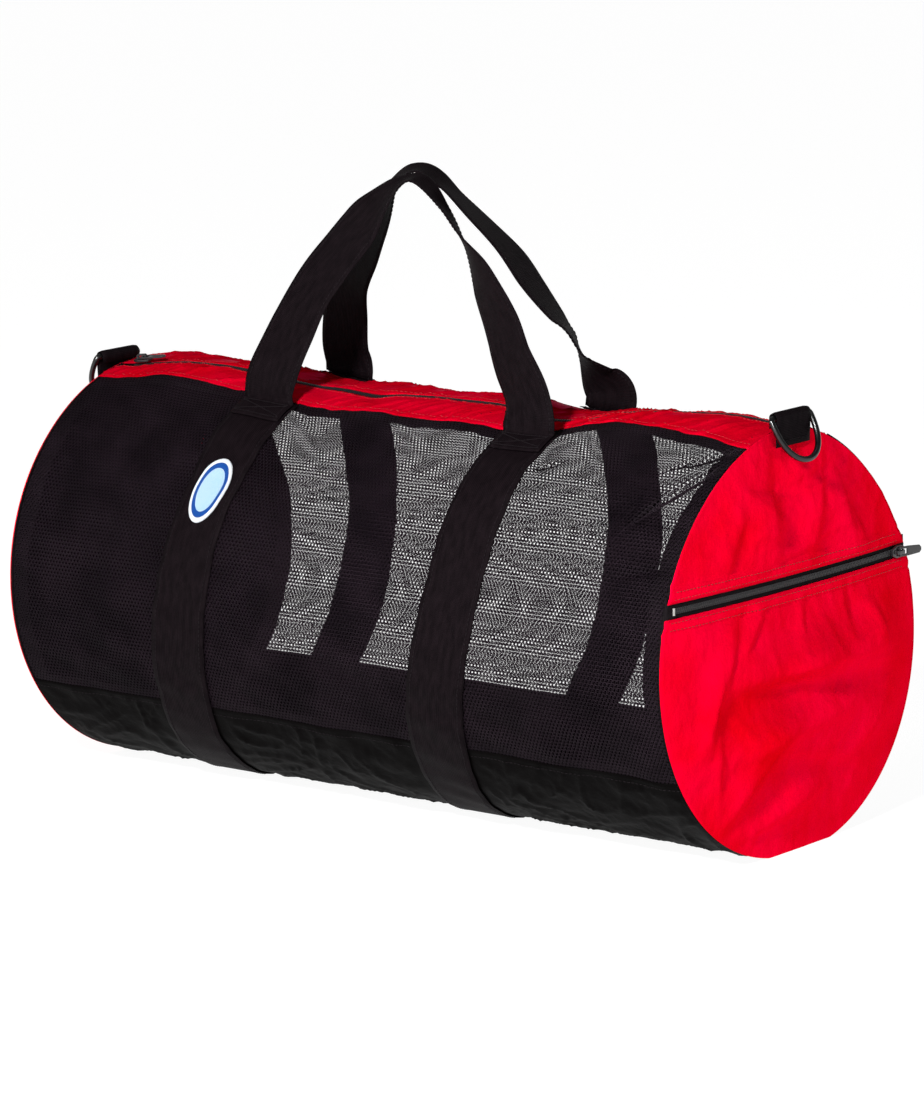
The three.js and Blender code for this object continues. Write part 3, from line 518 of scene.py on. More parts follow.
RED = red_nylon("red_nylon", (214, 0, 20), (234, 1, 46))
# Darker copy of the same red nylon for the strips on top: painted shade, as the strips face up away from the
# front lights
RED_SHADED_TOP = red_nylon("red_nylon_top_painted_shade", (172, 0, 14), (198, 1, 34))
INSIDE = black_nylon("black_lining", (17, 13, 15), 0.75)
BOTTOM = black_nylon("black_nylon", (2, 1, 1), 0.6, 30.0, 0.5)
TAPE = black_nylon("black_tape", (19, 15, 17), 0.7, 300.0, 0.3)
WEB = webbing()
NET = net_thread()
CHAIN = hard_black("zip_chain", (22, 21, 23), 0.4)
HARD = hard_black("zip_hardware", (24, 24, 26), 0.33, 0.3)
RING = hard_black("ring_black", (2, 2, 3), 0.3, 0.05)
METAL = shader("stop_metal", (186, 184, 180), 0.3, Metallic=1.0)[0]
RED_THREAD = shader("red_thread", (150, 2, 16), 0.7)[0]
BLACK_THREAD = shader("black_thread", (20, 15, 18), 0.8, Specular_IOR_Level=0.1)[0]


# Net panels: a sheet of hexagonal holes

def net_panel(name, first, last, node_name):
    """Net between two edges, in degrees for each x: holes of six corners, with threads between them."""
    row_step = NET_PITCH * math.sqrt(3) / 2
    radius = HEIGHT / 2
    columns = int(2 * HALF / NET_PITCH)
    ends = np.linspace(-HALF, HALF, 60)
    low = np.radians(min(first(ends).min(), last(ends).min())) * radius
    high = np.radians(max(first(ends).max(), last(ends).max())) * radius
    rows = int((high - low) / row_step) + 1
    row, column = np.meshgrid(np.arange(rows), np.arange(columns), indexing="ij")
    x = -HALF + NET_PITCH * (0.5 + column + 0.5 * (row % 2))
    arc = low + row * row_step
    turn = np.degrees(arc / radius)
    keep = (turn >= first(x)) & (turn <= last(x)) & (x < HALF - 0.3 * NET_PITCH)
    number = np.full(keep.shape, -1)
    number[keep] = np.arange(keep.sum())
    spokes = np.radians(30 + 60 * np.arange(6))
    reach = NET_HOLE / math.sqrt(3)
    hole_x = x[keep][:, None] + reach * np.cos(spokes)
    hole_arc = arc[keep][:, None] + reach * np.sin(spokes)
    points = skin(hole_x, np.degrees(hole_arc / radius), NET_OUT, NET_LOWEST)

    def beside(rows_on, shift):
        """Number of the cell that lies shift columns on and rows_on rows on, or -1."""
        target_row = row + rows_on
        target_column = column + shift
        inside = (target_row < rows) & (target_column >= 0) & (target_column < columns)
        found = np.full(keep.shape, -1)
        found[inside] = number[target_row[inside], target_column[inside]]
        return found

    odd = row % 2
    east = beside(0, 1)
    north_east = np.where(odd == 1, beside(1, 1), beside(1, 0))
    north_west = np.where(odd == 1, beside(1, 0), beside(1, -1))

    def link(*corners):
        """Faces whose corners are (cells, corner) pairs, where all of those cells exist."""
        usable = keep.copy()
        for cells, _ in corners:
            usable &= cells >= 0
        return np.stack([cells[usable] * 6 + corner for cells, corner in corners], axis=-1)

    faces = []
    sides = ((east, (0, 5), (3, 2)), (north_east, (1, 0), (4, 3)), (north_west, (2, 1), (5, 4)))
    for other, near, far in sides:
        thread = link((number, near[0]), (number, near[1]), (other, far[1]), (other, far[0]))
        faces += [thread[:, [0, 1, 2]], thread[:, [0, 2, 3]]]
    faces.append(link((number, 1), (north_east, 3), (north_west, 5)))
    faces.append(link((number, 0), (east, 2), (north_east, 4)))
    make(name, points, np.concatenate(faces), [NET], [node_name])


def edge(column, shift=0.0):
    """Edge that follows a column of the top's table, in degrees for each x."""
    return lambda x: top_at(x, column) + shift


def level(value):
    """Edge that stays at one angle."""
    return lambda x: np.full_like(np.asarray(x, float), value)


net_panel("net_front_panel", edge("front", -1.0), level(FRONT_SEAM + 1.0), "net_front")
net_panel("net_back_panel", level(BACK_SEAM - 1.0), edge("back", 1.0), "net_back")


# What shows through the net: seam allowances, doubled folds of the net, and the tape inside the ends

def band(name, first, last):
    """Seam allowance inside the bag between two edges, with a frilled edge at the last."""
    x = np.linspace(-HALF + 1 * MM, HALF - 1 * MM, 160)[:, None]
    share = np.linspace(0, 1, 4)[None]
    turn = first(x) * (1 - share) + last(x) * share
    frill = 0.5 * MM * waves((x * np.ones_like(share), turn * MM), 21, 30 * MM) * share
    outer = skin(x, turn, SEAM_BAND_OUT + frill)
    inner = skin(x, turn, SEAM_BAND_OUT - SEAM_BAND_THICK + frill)
    slab(name, outer, inner, [TAPE], flip=True)


def fold_line(name, x0, turn0, x1, turn1, width):
    """Sliver of doubled net along a crease, wide at its start and pointed at its end."""
    share = np.linspace(0, 1, 40)[:, None]
    across = np.linspace(-0.5, 0.5, 3)[None]
    x = (x0 + (x1 - x0) * share) * MM
    slim = width * MM * (1 - share) ** 0.6
    turn = turn0 + (turn1 - turn0) * share + degrees_of(1.0) * across * slim
    slab(name, skin(x, turn, NET_FOLD_OUT), skin(x, turn, SEAM_BAND_OUT), [NET], flip=True)


def end_binding(side):
    """Tape that binds an end seam inside the bag, with an uneven inner edge."""
    name = "left" if side < 0 else "right"
    turn = np.linspace(0, 360, 181)[:, None]
    share = np.linspace(0, 1, 5)[None]
    width = (BINDING_WIDTH + 1.2 * MM * np.sin(np.radians(turn * 7))
             + 0.8 * MM * np.sin(np.radians(turn * 17)))
    x = side * (HALF - SEAM_GAP - width * share)
    outer = skin(x, turn, BINDING_OUT + 0.6 * MM * np.sin(share * math.pi), 1.4 * MM)
    inner = skin(x, turn, BINDING_OUT - 0.8 * MM, 2.2 * MM)
    slab(f"binding_{name}", outer, inner, [TAPE], [f"seam_binding_{name}"], flip=side > 0)


band("strip_seam_front", edge("front", -1.0), edge("front", 4.0))
band("strip_seam_back", edge("back", -3.6), edge("back", 1.0))
band("bottom_seam_front", level(FRONT_SEAM - 2.6), level(FRONT_SEAM + 1.5))
fold_line("net_fold_high", 378, 19, 318, 33.6, 5.0)
fold_line("net_fold_low", 379, 26, 300, 56, 4.5)
fold_line("net_fold_middle", 188, 36, 216, 31, 3.5)
band("bottom_seam_back", level(BACK_SEAM - 1.5), level(BACK_SEAM + 2.6))


end_binding(-1)
end_binding(1)


# Red strips along the top, gathered along their seams

def strip(name, first, last, node_name, seed):
    """Strip from its zip edge to its net edge, crinkled, with turned hems; returns its two stitch lines."""
    columns = 25
    x = np.linspace(-HALF, HALF, 420)[:, None]
    share = np.linspace(0, 1, columns)[None]
    turn = first(x) * (1 - share) + last(x) * share
    arc = np.radians(turn) * HEIGHT / 2
    places = (x + 0.5 * arc, arc * 0.35)
    off_edges = np.sin(share * math.pi) ** 0.5
    fold = 3.4 * MM * (creases(places, seed, 40 * MM) - 0.35) * off_edges
    small = 1.3 * MM * (creases(places, seed + 7, 17 * MM) - 0.4) * off_edges
    hem = (0.9 * MM * np.exp(-((share - 0.93) / 0.05) ** 2)
           + 0.6 * MM * np.exp(-((share - 0.06) / 0.05) ** 2))
    edge_wave = degrees_of(0.9 * MM) * waves((x, x * 0), seed + 3, 28 * MM) * share ** 4
    swell = 0.7 * MM * np.sin(share * math.pi)
    out = np.maximum(fold + small + hem + swell - 0.4 * MM, -0.1 * MM)
    sign = 1 if node_name.endswith("front") else -1
    outer = skin(x, turn + sign * edge_wave, out)
    inner = skin(x, turn + sign * edge_wave, out - CLOTH)
    # The strips take the darker red copy: painted shade on cloth that faces up
    slab(name, outer, inner, [RED_SHADED_TOP, INSIDE], [node_name], pairs(arc, x), sign > 0, 1)
    return [outer[:, round(place * (columns - 1))] + 0.1 * MM for place in (0.10, 0.88)]


opening = degrees_of(ZIP_OPENING / 2)
red_lines = strip("strip_front", edge("zip", opening), edge("front", 0.2), "top_strip_front", 11)
red_lines += strip("strip_back", edge("zip", -opening), edge("back", -0.2), "top_strip_back", 31)


# Main zip: tape and two rows of coil that mesh

def zip_tape():
    """Tape of the main zip, with a low ridge on either side of its coil."""
    x = np.linspace(-HALF + TAPE_INSET, HALF - TAPE_INSET, 260)[:, None]
    share = np.linspace(-1, 1, 13)[None]
    turn = top_at(x, "zip") + share * degrees_of(ZIP_TAPE / 2)
    ridge = 0.2 * MM * np.exp(-((np.abs(share) - 0.42) / 0.08) ** 2)
    outer = skin(x, turn, TAPE_OUT + ridge)
    inner = skin(x, turn, TAPE_OUT - TAPE_THICK)
    uv = pairs(share * ZIP_TAPE / 2, x)
    slab("zip_tape_main", outer, inner, [TAPE], ["main_zip_tape"], uv, flip=True)


def teeth(name, spots, headings, normals, node_name):
    """Coil of a closed zip: short bent bars from each side in turn, meeting over the middle."""
    # Section of a bar: share of the chain's width from its middle, share of a tooth's height
    section = [(-0.50, 0.10), (-0.46, 0.85), (-0.05, 1.05), (0.14, 0.75), (0.14, 0.10)]
    sides = len(section)
    across = np.cross(normals, headings)
    bars = []
    for first, row_side in ((0, -1), (1, 1)):
        place, ahead, up, aside = [values[first::2] for values in (spots, headings, normals, across)]
        corners = []
        for end in (-1, 1):
            for share, rise in section:
                half = TOOTH_HALF * (1.0 if rise < 0.8 else 0.7)
                corners.append(place - aside * row_side * share * CHAIN_WIDTH + up * rise * TOOTH_HEIGHT
                               + ahead * end * half)
        bars.append(np.stack(corners, axis=1))
    ring = np.arange(sides)
    after = (ring + 1) % sides
    quads = np.stack([ring, after, after + sides, ring + sides], axis=-1)
    quads = np.concatenate([quads, [[0, 4, 3, 1], [5, 6, 8, 9]]])
    one = np.concatenate([quads[:, [0, 1, 2]], quads[:, [0, 2, 3]], [[1, 3, 2], [6, 7, 8]]])
    make(name, np.concatenate(bars), repeated(one, 2 * sides, len(spots)), [CHAIN], [node_name],
         soft=False)


zip_tape()
tooth_x = np.arange(-HALF + CHAIN_END, HALF - CHAIN_END, TOOTH_PITCH)
tooth_turn = top_at(tooth_x, "zip")
tooth_spots = skin(tooth_x, tooth_turn, TAPE_OUT)
tooth_up = unit(skin(tooth_x, tooth_turn, 1 * MM) - skin(tooth_x, tooth_turn, 0))
teeth("zip_coil_main", tooth_spots, unit(np.gradient(tooth_spots, axis=0)), tooth_up, "main_zip_chain")


# Straps and handles

def ribbon_profile(width, thick):
    """Across a webbing: places and half its thickness there, thinner at its edges."""
    share = np.linspace(-1, 1, RIBBON_COLUMNS)
    share = np.sign(share) * np.abs(share) ** 0.8
    return share * width / 2, np.sqrt(np.clip(1 - np.abs(share) ** 12, 0.05, 1)) * thick / 2


def strap(name, table, node_name):
    """Webbing round the bag from fold to fold; returns its two stitch lines."""
    turns = np.linspace(FRONT_FOLD - 1.5, BACK_FOLD + 1.5, 420)
    middle = strap_x(table, turns)
    slant = np.hypot(1, np.gradient(middle, np.radians(turns) * HEIGHT / 2))
    places, halves = ribbon_profile(STRAP_WIDTH, STRAP_THICK)
    wobble = 0.5 * MM * waves((turns * 3 * MM, turns * 0), 5, 60 * MM)
    x = middle[:, None] + places * slant[:, None] + wobble[:, None]
    around = turns[:, None]
    centre = LAYER_GAP + STRAP_THICK / 2
    outer = skin(x, around, centre + halves)
    inner = skin(x, around, centre - halves, STRAP_THICK)
    uv = pairs(places, run_along(outer[:, MIDDLE_COLUMN])[:, None])
    slab(name, outer, inner, [WEB], [node_name], uv, flip=True)
    return [skin(x[:, column], turns, centre + halves[column] + 0.12 * MM) for column in SEWN_COLUMNS]


def centripetal(points, per_span):
    """Points of a centripetal Catmull-Rom curve, per_span steps between each two of its own points."""
    points = np.asarray(points)
    padded = np.vstack([2 * points[0] - points[1], points, 2 * points[-1] - points[-2]])
    made = []
    for index in range(len(points) - 1):
        p = padded[index:index + 4]
        knots = [0.0]
        for a, b in zip(p[:-1], p[1:]):
            knots.append(knots[-1] + max(np.linalg.norm(b - a), 1e-6) ** 0.5)
        t = np.linspace(knots[1], knots[2], per_span, endpoint=False)[:, None]
        k = knots
        a1 = (k[1] - t) / (k[1] - k[0]) * p[0] + (t - k[0]) / (k[1] - k[0]) * p[1]
        a2 = (k[2] - t) / (k[2] - k[1]) * p[1] + (t - k[1]) / (k[2] - k[1]) * p[2]
        a3 = (k[3] - t) / (k[3] - k[2]) * p[2] + (t - k[2]) / (k[3] - k[2]) * p[3]
        b1 = (k[2] - t) / (k[2] - k[0]) * a1 + (t - k[0]) / (k[2] - k[0]) * a2
        b2 = (k[3] - t) / (k[3] - k[1]) * a2 + (t - k[1]) / (k[3] - k[1]) * a3
        made.append((k[2] - t) / (k[2] - k[1]) * b1 + (t - k[1]) / (k[2] - k[1]) * b2)
    return np.vstack([*made, points[-1:]])


def softened(values):
    """Running mean over seven steps."""
    return np.convolve(np.pad(values, 3, mode="edge"), np.ones(7) / 7, mode="valid")


def handle(name, rows, fold, rise, node_name):
    """Loop of webbing from tail to tail; returns its stitch lines and those of its sewn tacks."""
    out = LAYER_GAP + STRAP_THICK + LAYER_GAP + STRAP_THICK / 2
    front = fold < 180
    left, right = [skin(strap_x(table, fold), fold, out) for table in (LEFT_STRAP, RIGHT_STRAP)]
    loop = [(left[0] + (right[0] - left[0]) * across, left[1] * lean, left[2] + rise * up)
            for across, up, lean, _, _ in rows]
    path = centripetal([left, *loop, right], LOOP_STEPS)
    keys = np.arange(len(rows) + 2)
    at = np.linspace(0, len(rows) + 1, len(path))
    turn = softened(np.interp(at, keys, [0, *[row[3] for row in rows], 180]))
    wide = softened(np.interp(at, keys, [1, *[row[4] for row in rows], 1]))
    along = unit(np.gradient(path, axis=0))
    depth = unit(np.array([0, 1.0, 0]) - along * along[:, 1:2])
    flat = np.cross(along, depth)
    angle = np.radians(-90 - turn)[:, None]
    width = depth * np.cos(angle) + flat * np.sin(angle)
    # The rear loop's width turns along the bag where its right leg lies down on the strap
    level_share = 0 if front else ease(len(rows) - 2, len(rows) + 1.5, at)[:, None]
    width = unit(width * (1 - level_share) + np.array([1.0, 0, 0]) * level_share)
    normal = unit(np.cross(along, width))
    places, halves = ribbon_profile(HANDLE_WIDTH, STRAP_THICK)
    skip = 5
    body = slice(skip, len(path) - skip)
    centre = path[:, None] + width[:, None] * (places[None] * wide[:, None])[..., None]
    outer_loop = (centre + normal[:, None] * halves[None, :, None])[body]
    inner_loop = (centre - normal[:, None] * halves[None, :, None])[body]

    def tail(table, turns, flip):
        """Outer and inner points of the webbing's end, sewn to its strap."""
        x = strap_x(table, turns)[:, None] + places
        high = skin(x, turns[:, None], out + halves)
        low = skin(x, turns[:, None], out - halves)
        return (low, high) if flip else (high, low)

    sign = 1 if front else -1
    turns = np.linspace(fold + sign * TAIL_ARC, fold, 9)
    left_tail = tail(LEFT_STRAP, turns, front)
    right_tail = tail(RIGHT_STRAP, turns[::-1], not front)
    outer = np.concatenate([left_tail[0], outer_loop, right_tail[0]])
    inner = np.concatenate([left_tail[1], inner_loop, right_tail[1]])
    uv = pairs(places, run_along(outer[:, MIDDLE_COLUMN])[:, None])
    slab(name, outer, inner, [WEB], [node_name], uv)
    on_tail = out + STRAP_THICK / 2 + 0.2 * MM
    across = np.linspace(-0.94, 0.94, 12)
    slanted = np.linspace(-0.9, 0.9, 12)
    tacks = []
    for table in (LEFT_STRAP, RIGHT_STRAP):
        for step in (1.2, 6.6):
            around = fold + sign * step
            tacks.append(skin(strap_x(table, around) + across * HANDLE_WIDTH / 2, around, on_tail))
        for slant in (1, -1):
            around = fold + sign * (3.9 + 2.5 * slanted * slant)
            tacks.append(skin(strap_x(table, around) + slanted * HANDLE_WIDTH / 2, around, on_tail))
    return [side[:, column] for side in (outer, inner) for column in SEWN_COLUMNS], tacks


black_lines = strap("webbing_left", LEFT_STRAP, "strap_left")
black_lines += strap("webbing_right", RIGHT_STRAP, "strap_right")
front_lines, front_tacks = handle("loop_front", FRONT_HANDLE, FRONT_FOLD, FRONT_RISE, "handle_front")
back_lines, back_tacks = handle("loop_back", BACK_HANDLE, BACK_FOLD, BACK_RISE, "handle_back")
stitches("strap_stitches", black_lines + front_lines + back_lines, BLACK_THREAD)
stitches("handle_tacks", front_tacks + back_tacks, BLACK_THREAD, 2.6 * MM, 0.4 * MM, 0.5 * MM)


# Bottom panel

def bottom():
    """Bottom cloth, wrinkled but pressed flat beside the straps; returns its two stitch lines."""
    turn = np.concatenate([np.linspace(FRONT_SEAM, 170, 44), np.linspace(170, 190, 14)[1:],
                           np.linspace(190, 360 + BACK_SEAM, 34)[1:]])[None]
    x = np.linspace(-HALF, HALF, 280)[:, None]
    arc = np.radians(turn) * HEIGHT / 2
    near = 0
    for table in (LEFT_STRAP, RIGHT_STRAP):
        away = np.abs(x - strap_x(table, turn))
        near = np.maximum(near, ease(STRAP_WIDTH / 2 + 17 * MM, STRAP_WIDTH / 2 + 3 * MM, away))
    low = ease(150, 165, np.where(turn > 180, 360 - turn, turn))
    wrinkle = (2.4 * MM * (creases((x * 0.8, arc), 71, 60 * MM) - 0.4)
               + 1.0 * MM * (creases((x, arc), 77, 24 * MM) - 0.4))
    free = ease(0, 12 * MM, HALF - np.abs(x)) * ease(FRONT_SEAM, FRONT_SEAM + 4, turn) * ease(228, 224, turn)
    out = wrinkle * free * (1 - near) - 0.2 * MM
    lift = near * low * (STRAP_THICK + SEAM_GAP)
    outer = skin(x, turn, out, lift)
    inner = skin(x, turn, out - CLOTH, lift + CLOTH)
    slab("bottom_cloth", outer, inner, [BOTTOM, INSIDE], ["bottom_panel"], flip=True,
         inside=1)
    return [outer[:, 2], outer[:, -3]]


stitches("bottom_stitches", bottom(), BLACK_THREAD)


# Ends

# Factor on the height of every fold in the tables below
FOLD_GAIN = 2.2

# Folds of the ends: middle Y and Z in mm, heading in degrees, half length, half width and height in mm
UPPER_FOLDS = [
    (-40, 316, 95, 44, 24, 3.4), (30, 300, 78, 40, 16, 2.4), (78, 292, 110, 34, 12, 2.2),
    (-20, 270, 10, 60, 7, 1.4), (100, 275, 120, 26, 8, 1.6), (-95, 285, 62, 36, 10, 1.6),
    (30, 345, 15, 40, 12, 1.6), (-30, 330, -12, 36, 9, -1.6),
]
POCKET_FOLDS = [
    (5, 169, 0, 105, 15, 4.4), (-30, 112, 8, 90, 16, 2.2), (60, 160, -4, 90, 14, 1.6),
    (-75, 72, 42, 60, 12, 2.6), (-30, 38, 14, 60, 10, 3.4), (-110, 190, 64, 50, 9, 2.2),
    (-130, 150, 78, 44, 8, 2.4), (-120, 96, 96, 44, 8, 2.0), (-70, 215, 48, 34, 7, 1.8),
    (0, 212, 78, 26, 7, 1.4), (70, 208, 100, 26, 7, 1.4), (120, 190, 118, 32, 8, 1.6),
    (110, 90, 20, 60, 12, 1.8), (40, 84, -14, 60, 12, 1.4),
]
LEFT_FOLDS = [
    (0, 250, 8, 130, 14, 2.0), (-50, 170, -12, 110, 12, -1.8), (40, 110, 14, 110, 12, 1.8),
    (90, 280, 60, 44, 9, 1.8), (-90, 290, 115, 44, 9, 1.8), (-110, 80, 60, 50, 9, 1.8),
    (100, 70, 120, 50, 9, 1.8), (0, 60, 0, 80, 10, -1.6),
]


def end_out(y, z, folds, pocket, seed):
    """How far an end stands out, with folds that fade at its rim."""
    away = off_axis(y, z)
    swell = end_swell(y, z)
    if pocket:
        height_share = np.clip(z / POCKET_ZIP_HEIGHT, 0, 1)
        swell = swell + POCKET_FULLNESS * np.clip(1 - away ** 4, 0, 1) * np.sin(math.pi * height_share)
    total = 0
    for y0, z0, heading, half_length, half_width, height in folds:
        ahead_y = math.cos(math.radians(heading))
        ahead_z = math.sin(math.radians(heading))
        along = (y - y0 * MM) * ahead_y + (z - z0 * MM) * ahead_z
        aside = -(y - y0 * MM) * ahead_z + (z - z0 * MM) * ahead_y
        side = np.where(aside > 0, half_width * 1.5, half_width * 0.55) * MM
        fade = np.exp(-(along / (half_length * MM)) ** 2)
        total = total + height * MM * fade * np.exp(-(aside / side) ** 2)
    crinkle = (1.5 * MM * (creases((y, z), seed, 84 * MM) - 0.4)
               + 2.4 * MM * waves((y, z), seed + 9, 95 * MM)
               + 0.8 * MM * (creases((y, z), seed + 5, 26 * MM) - 0.4))
    gather = 1.2 * MM * np.sin(np.degrees(np.arctan2(y, z - AXIS)) * 0.9) * away ** 8
    return swell + (FOLD_GAIN * total + crinkle + gather) * np.clip(1 - away ** 6, 0, 1)


def end_sheet(name, side, first, last, rows, folds, node_name, seed, pocket=False, zip_row=None):
    """Sheet across an end, in rows from the rim in front to the rim behind; zip_row is 0 or 1, the row that
    is hemmed along the pocket's zip."""
    turns = np.linspace(first, last, rows)
    share = np.linspace(0, 1, 97)
    front = skin(side * HALF, turns, 0.2 * MM, bare=True)[:, None]
    rear = skin(side * HALF, 360 - turns, 0.2 * MM, bare=True)[:, None]
    points = front + (rear - front) * share[None, :, None]
    points[..., 2] = np.maximum(points[..., 2], 0.2 * MM)
    y, z = points[..., 1], points[..., 2]
    out = end_out(y, z, folds, pocket, seed)
    if zip_row is not None:
        from_zip = np.abs(np.linspace(0, 1, rows)[:, None] - zip_row) * (z.max() - z.min())
        close = np.exp(-from_zip / (9 * MM))
        out = out * (1 - close) + (end_swell(y, z) + 0.5 * MM) * close
        out = out + 0.9 * MM * np.exp(-((from_zip - 4.5 * MM) / (2.4 * MM)) ** 2)
        out = out - 0.8 * MM * np.exp(-((from_zip - 9.5 * MM) / (1.3 * MM)) ** 2)
    inner = points.copy()
    inner[..., 0] = side * (HALF + SEAM_GAP + out)
    outer = points.copy()
    outer[..., 0] = side * (HALF + SEAM_GAP + CLOTH + out)
    slab(name, outer, inner, [RED, INSIDE], [node_name], pairs(y, z), flip=side > 0, inside=1)
    return outer


def rim_angle(z):
    return math.degrees(math.acos(2 * (z - AXIS) / HEIGHT))


top_turn = 0.5
lowest = 180 - math.degrees(rest_angle)
zip_top = rim_angle(POCKET_ZIP_HEIGHT + POCKET_ZIP_OPENING / 2)
zip_low = rim_angle(POCKET_ZIP_HEIGHT - POCKET_ZIP_OPENING / 2)
end_sheet("end_cloth_left", -1, top_turn, lowest, 110, LEFT_FOLDS, "end_left", 41)
upper = end_sheet("end_cloth_upper", 1, top_turn, zip_top, 70, UPPER_FOLDS, "end_right_upper", 43, zip_row=1)
pocket = end_sheet("end_cloth_pocket", 1, zip_low, lowest, 100, POCKET_FOLDS, "end_right_pocket", 47,
                   pocket=True, zip_row=0)


def seam_line(sheet, zip_row, rise):
    """Stitch line on a sheet, rise above its zip edge."""
    z = sheet[..., 2]
    line = []
    for column in range(2, sheet.shape[1] - 2):
        order = np.argsort(z[:, column])
        heights = z[order, column]
        wanted = z[zip_row, column] + rise
        line.append([np.interp(wanted, heights, sheet[order, column, axis]) for axis in range(3)])
    return np.array(line) + [0.15 * MM, 0, 0]


for sheet, zip_row, sign in ((upper, -1, 1), (pocket, 0, -1)):
    for distance in (3.2 * MM, 9.6 * MM):
        red_lines.append(seam_line(sheet, zip_row, sign * distance))
stitches("red_stitches", red_lines, RED_THREAD)


# Pocket's zip, along a straight cut across the right end

cut_turn = rim_angle(POCKET_ZIP_HEIGHT)
cut_front = skin(HALF, cut_turn, bare=True)
cut_rear = skin(HALF, 360 - cut_turn, bare=True)
cut_length = np.linalg.norm(cut_rear - cut_front)


def pocket_row(from_rear, rise, extra):
    """Points along the pocket's cut, rise above it and extra out from the end's plain surface."""
    from_rear, rise, extra = np.broadcast_arrays(from_rear, rise, extra)
    seat = cut_front + (cut_rear - cut_front) * (1 - from_rear[..., None] / cut_length)
    y, z = seat[..., 1], seat[..., 2] + rise
    return np.stack([HALF + SEAM_GAP + end_swell(y, z) + extra, y, z], axis=-1)


def pocket_zip():
    """Tape of the pocket's zip, with a ridge on either side of its coil, and the coil."""
    from_rear = np.linspace(cut_length - 0.6 * MM, 0.6 * MM, 120)[:, None]
    rise = np.linspace(-ZIP_TAPE / 2, ZIP_TAPE / 2, 13)[None]
    ridge = 0.5 * MM * np.exp(-((np.abs(rise) - 4.6 * MM) / (0.9 * MM)) ** 2)
    outer = pocket_row(from_rear, rise, ridge + 0.1 * MM)
    inner = pocket_row(from_rear, rise, -0.9 * MM)
    uv = pairs(rise, from_rear)
    slab("zip_tape_pocket", outer, inner, [TAPE], ["pocket_zip_tape"], uv, flip=True)
    spots = pocket_row(np.arange(10 * MM, cut_length - 10 * MM, TOOTH_PITCH), 0.0, 0.1 * MM)
    normals = np.tile([1.0, 0, 0], (len(spots), 1))
    teeth("zip_coil_pocket", spots, unit(np.gradient(spots, axis=0)), normals, "pocket_zip_chain")


def end_stop():
    """Small metal stop where the pocket's coil ends in front."""
    middle = pocket_row(cut_length - 9 * MM, 0.0, 1.4 * MM)
    rise = np.linspace(-3.2, 3.2, 9) * MM
    points, faces = tube(middle + rise[:, None] * [0, 0, 1.0], 1.4 * MM, 10)
    make("pocket_zip_stop", points, faces, [METAL])


def rear_seam():
    """Black seam edge that shows on the rim behind the right ring."""
    turns = np.linspace(341, 318, 24)
    points, faces = tube(skin(HALF - 1 * MM, turns, 1.0 * MM, bare=True), 1.3 * MM, 8)
    make("rear_seam_edge", points, faces, [TAPE])


pocket_zip()
end_stop()
rear_seam()


# Tabs and D-rings

fold_inner = RING_WIRE / 2 + 0.4 * MM
fold_outer = fold_inner + STRAP_THICK
bar_x = HALF - TAB_INSET + fold_inner + STRAP_THICK / 2


def tab_seat(side):
    return skin(side * HALF, top_at(side * HALF, "zip"), bare=True)


def tab(side):
    """Folded webbing that holds a D-ring; returns its stitch line."""
    name = "left" if side < 0 else "right"
    seat = tab_seat(side)
    bar = seat[2] + TAB_RISE
    foot_z = bar - TAB_HANG
    foot_x = HALF + 2 * SEAM_GAP + CLOTH + end_swell(seat[1], foot_z) + 1.0 * MM
    bends = np.radians(np.linspace(180, 0, 17))
    middle = (fold_inner + fold_outer) / 2
    nearest = max(0, abs(seat[1]) - TAB_WIDTH / 2)
    start_z = skin(side * HALF, math.degrees(math.asin(2 * nearest / WIDTH)), bare=True)[2] + 1.6 * MM
    path = [(bar_x - middle, start_z)]
    path += [(bar_x + middle * math.cos(bend), bar + middle * math.sin(bend)) for bend in bends]
    for share in np.linspace(0.2, 1, 5):
        path.append((bar_x + middle + (foot_x + STRAP_THICK / 2 - bar_x - middle) * share ** 1.3,
                     bar + (foot_z - bar) * share))
    path = np.array(path)
    along = unit(np.gradient(path, axis=0))
    normal = np.stack([-along[:, 1], along[:, 0]], axis=-1)
    places, halves = ribbon_profile(TAB_WIDTH, STRAP_THICK)
    sheets = []
    for sign in (1, -1):
        x = path[:, :1] + normal[:, :1] * halves * sign
        z = path[:, 1:] + normal[:, 1:] * halves * sign
        sheets.append(np.stack(np.broadcast_arrays(side * x, seat[1] + places, z), axis=-1))
    uv = pairs(places, run_along(path)[:, None])
    slab(f"tab_{name}", sheets[0], sheets[1], [WEB], [f"ring_tab_{name}"], uv, flip=side < 0)
    sewn_x = side * (foot_x + STRAP_THICK + 0.3 * MM)
    sewn_y = seat[1] + np.linspace(-1, 1, 10) * TAB_WIDTH * 0.45
    return np.stack(np.broadcast_arrays(sewn_x, sewn_y, foot_z + 5 * MM), axis=-1)


def ring(side):
    """D-ring: a straight bar in its tab, two tight corners and a bow, tilted out from the end."""
    name = "left" if side < 0 else "right"
    wire = RING_WIRE / 2
    reach = TAB_WIDTH / 2 + 1 * MM + wire
    corner = wire * 1.6
    bow = [(reach * math.cos(turn) * (1 + 0.04 * math.sin(turn)),
            corner + (RING_DEPTH - corner - wire) * math.sin(turn) ** 0.85)
           for turn in np.radians(np.linspace(0, 180, 41))]
    left_corner = [(-reach + corner + corner * math.cos(turn), corner + corner * math.sin(turn))
                   for turn in np.radians(np.linspace(180, 270, 6))]
    right_corner = [(-across, drop) for across, drop in left_corner[::-1]]
    bar = [(share * (reach - corner), 0) for share in (-0.6, -0.2, 0.2, 0.6)]
    tilt = math.radians(RING_TILT)
    down = np.array([side * math.sin(tilt), 0, -math.cos(tilt)])
    seat = tab_seat(side) + [0, 0, TAB_RISE]
    seat[0] = side * bar_x
    route = left_corner[1:] + bar + right_corner[:-1] + bow
    path = [seat + np.array([0, across, 0]) + down * drop for across, drop in route]
    points, faces = tube(path, wire, 16, closed=True)
    make(f"ring_{name}", points, faces, [RING], [f"d_ring_{name}"], f"ring_{name}")


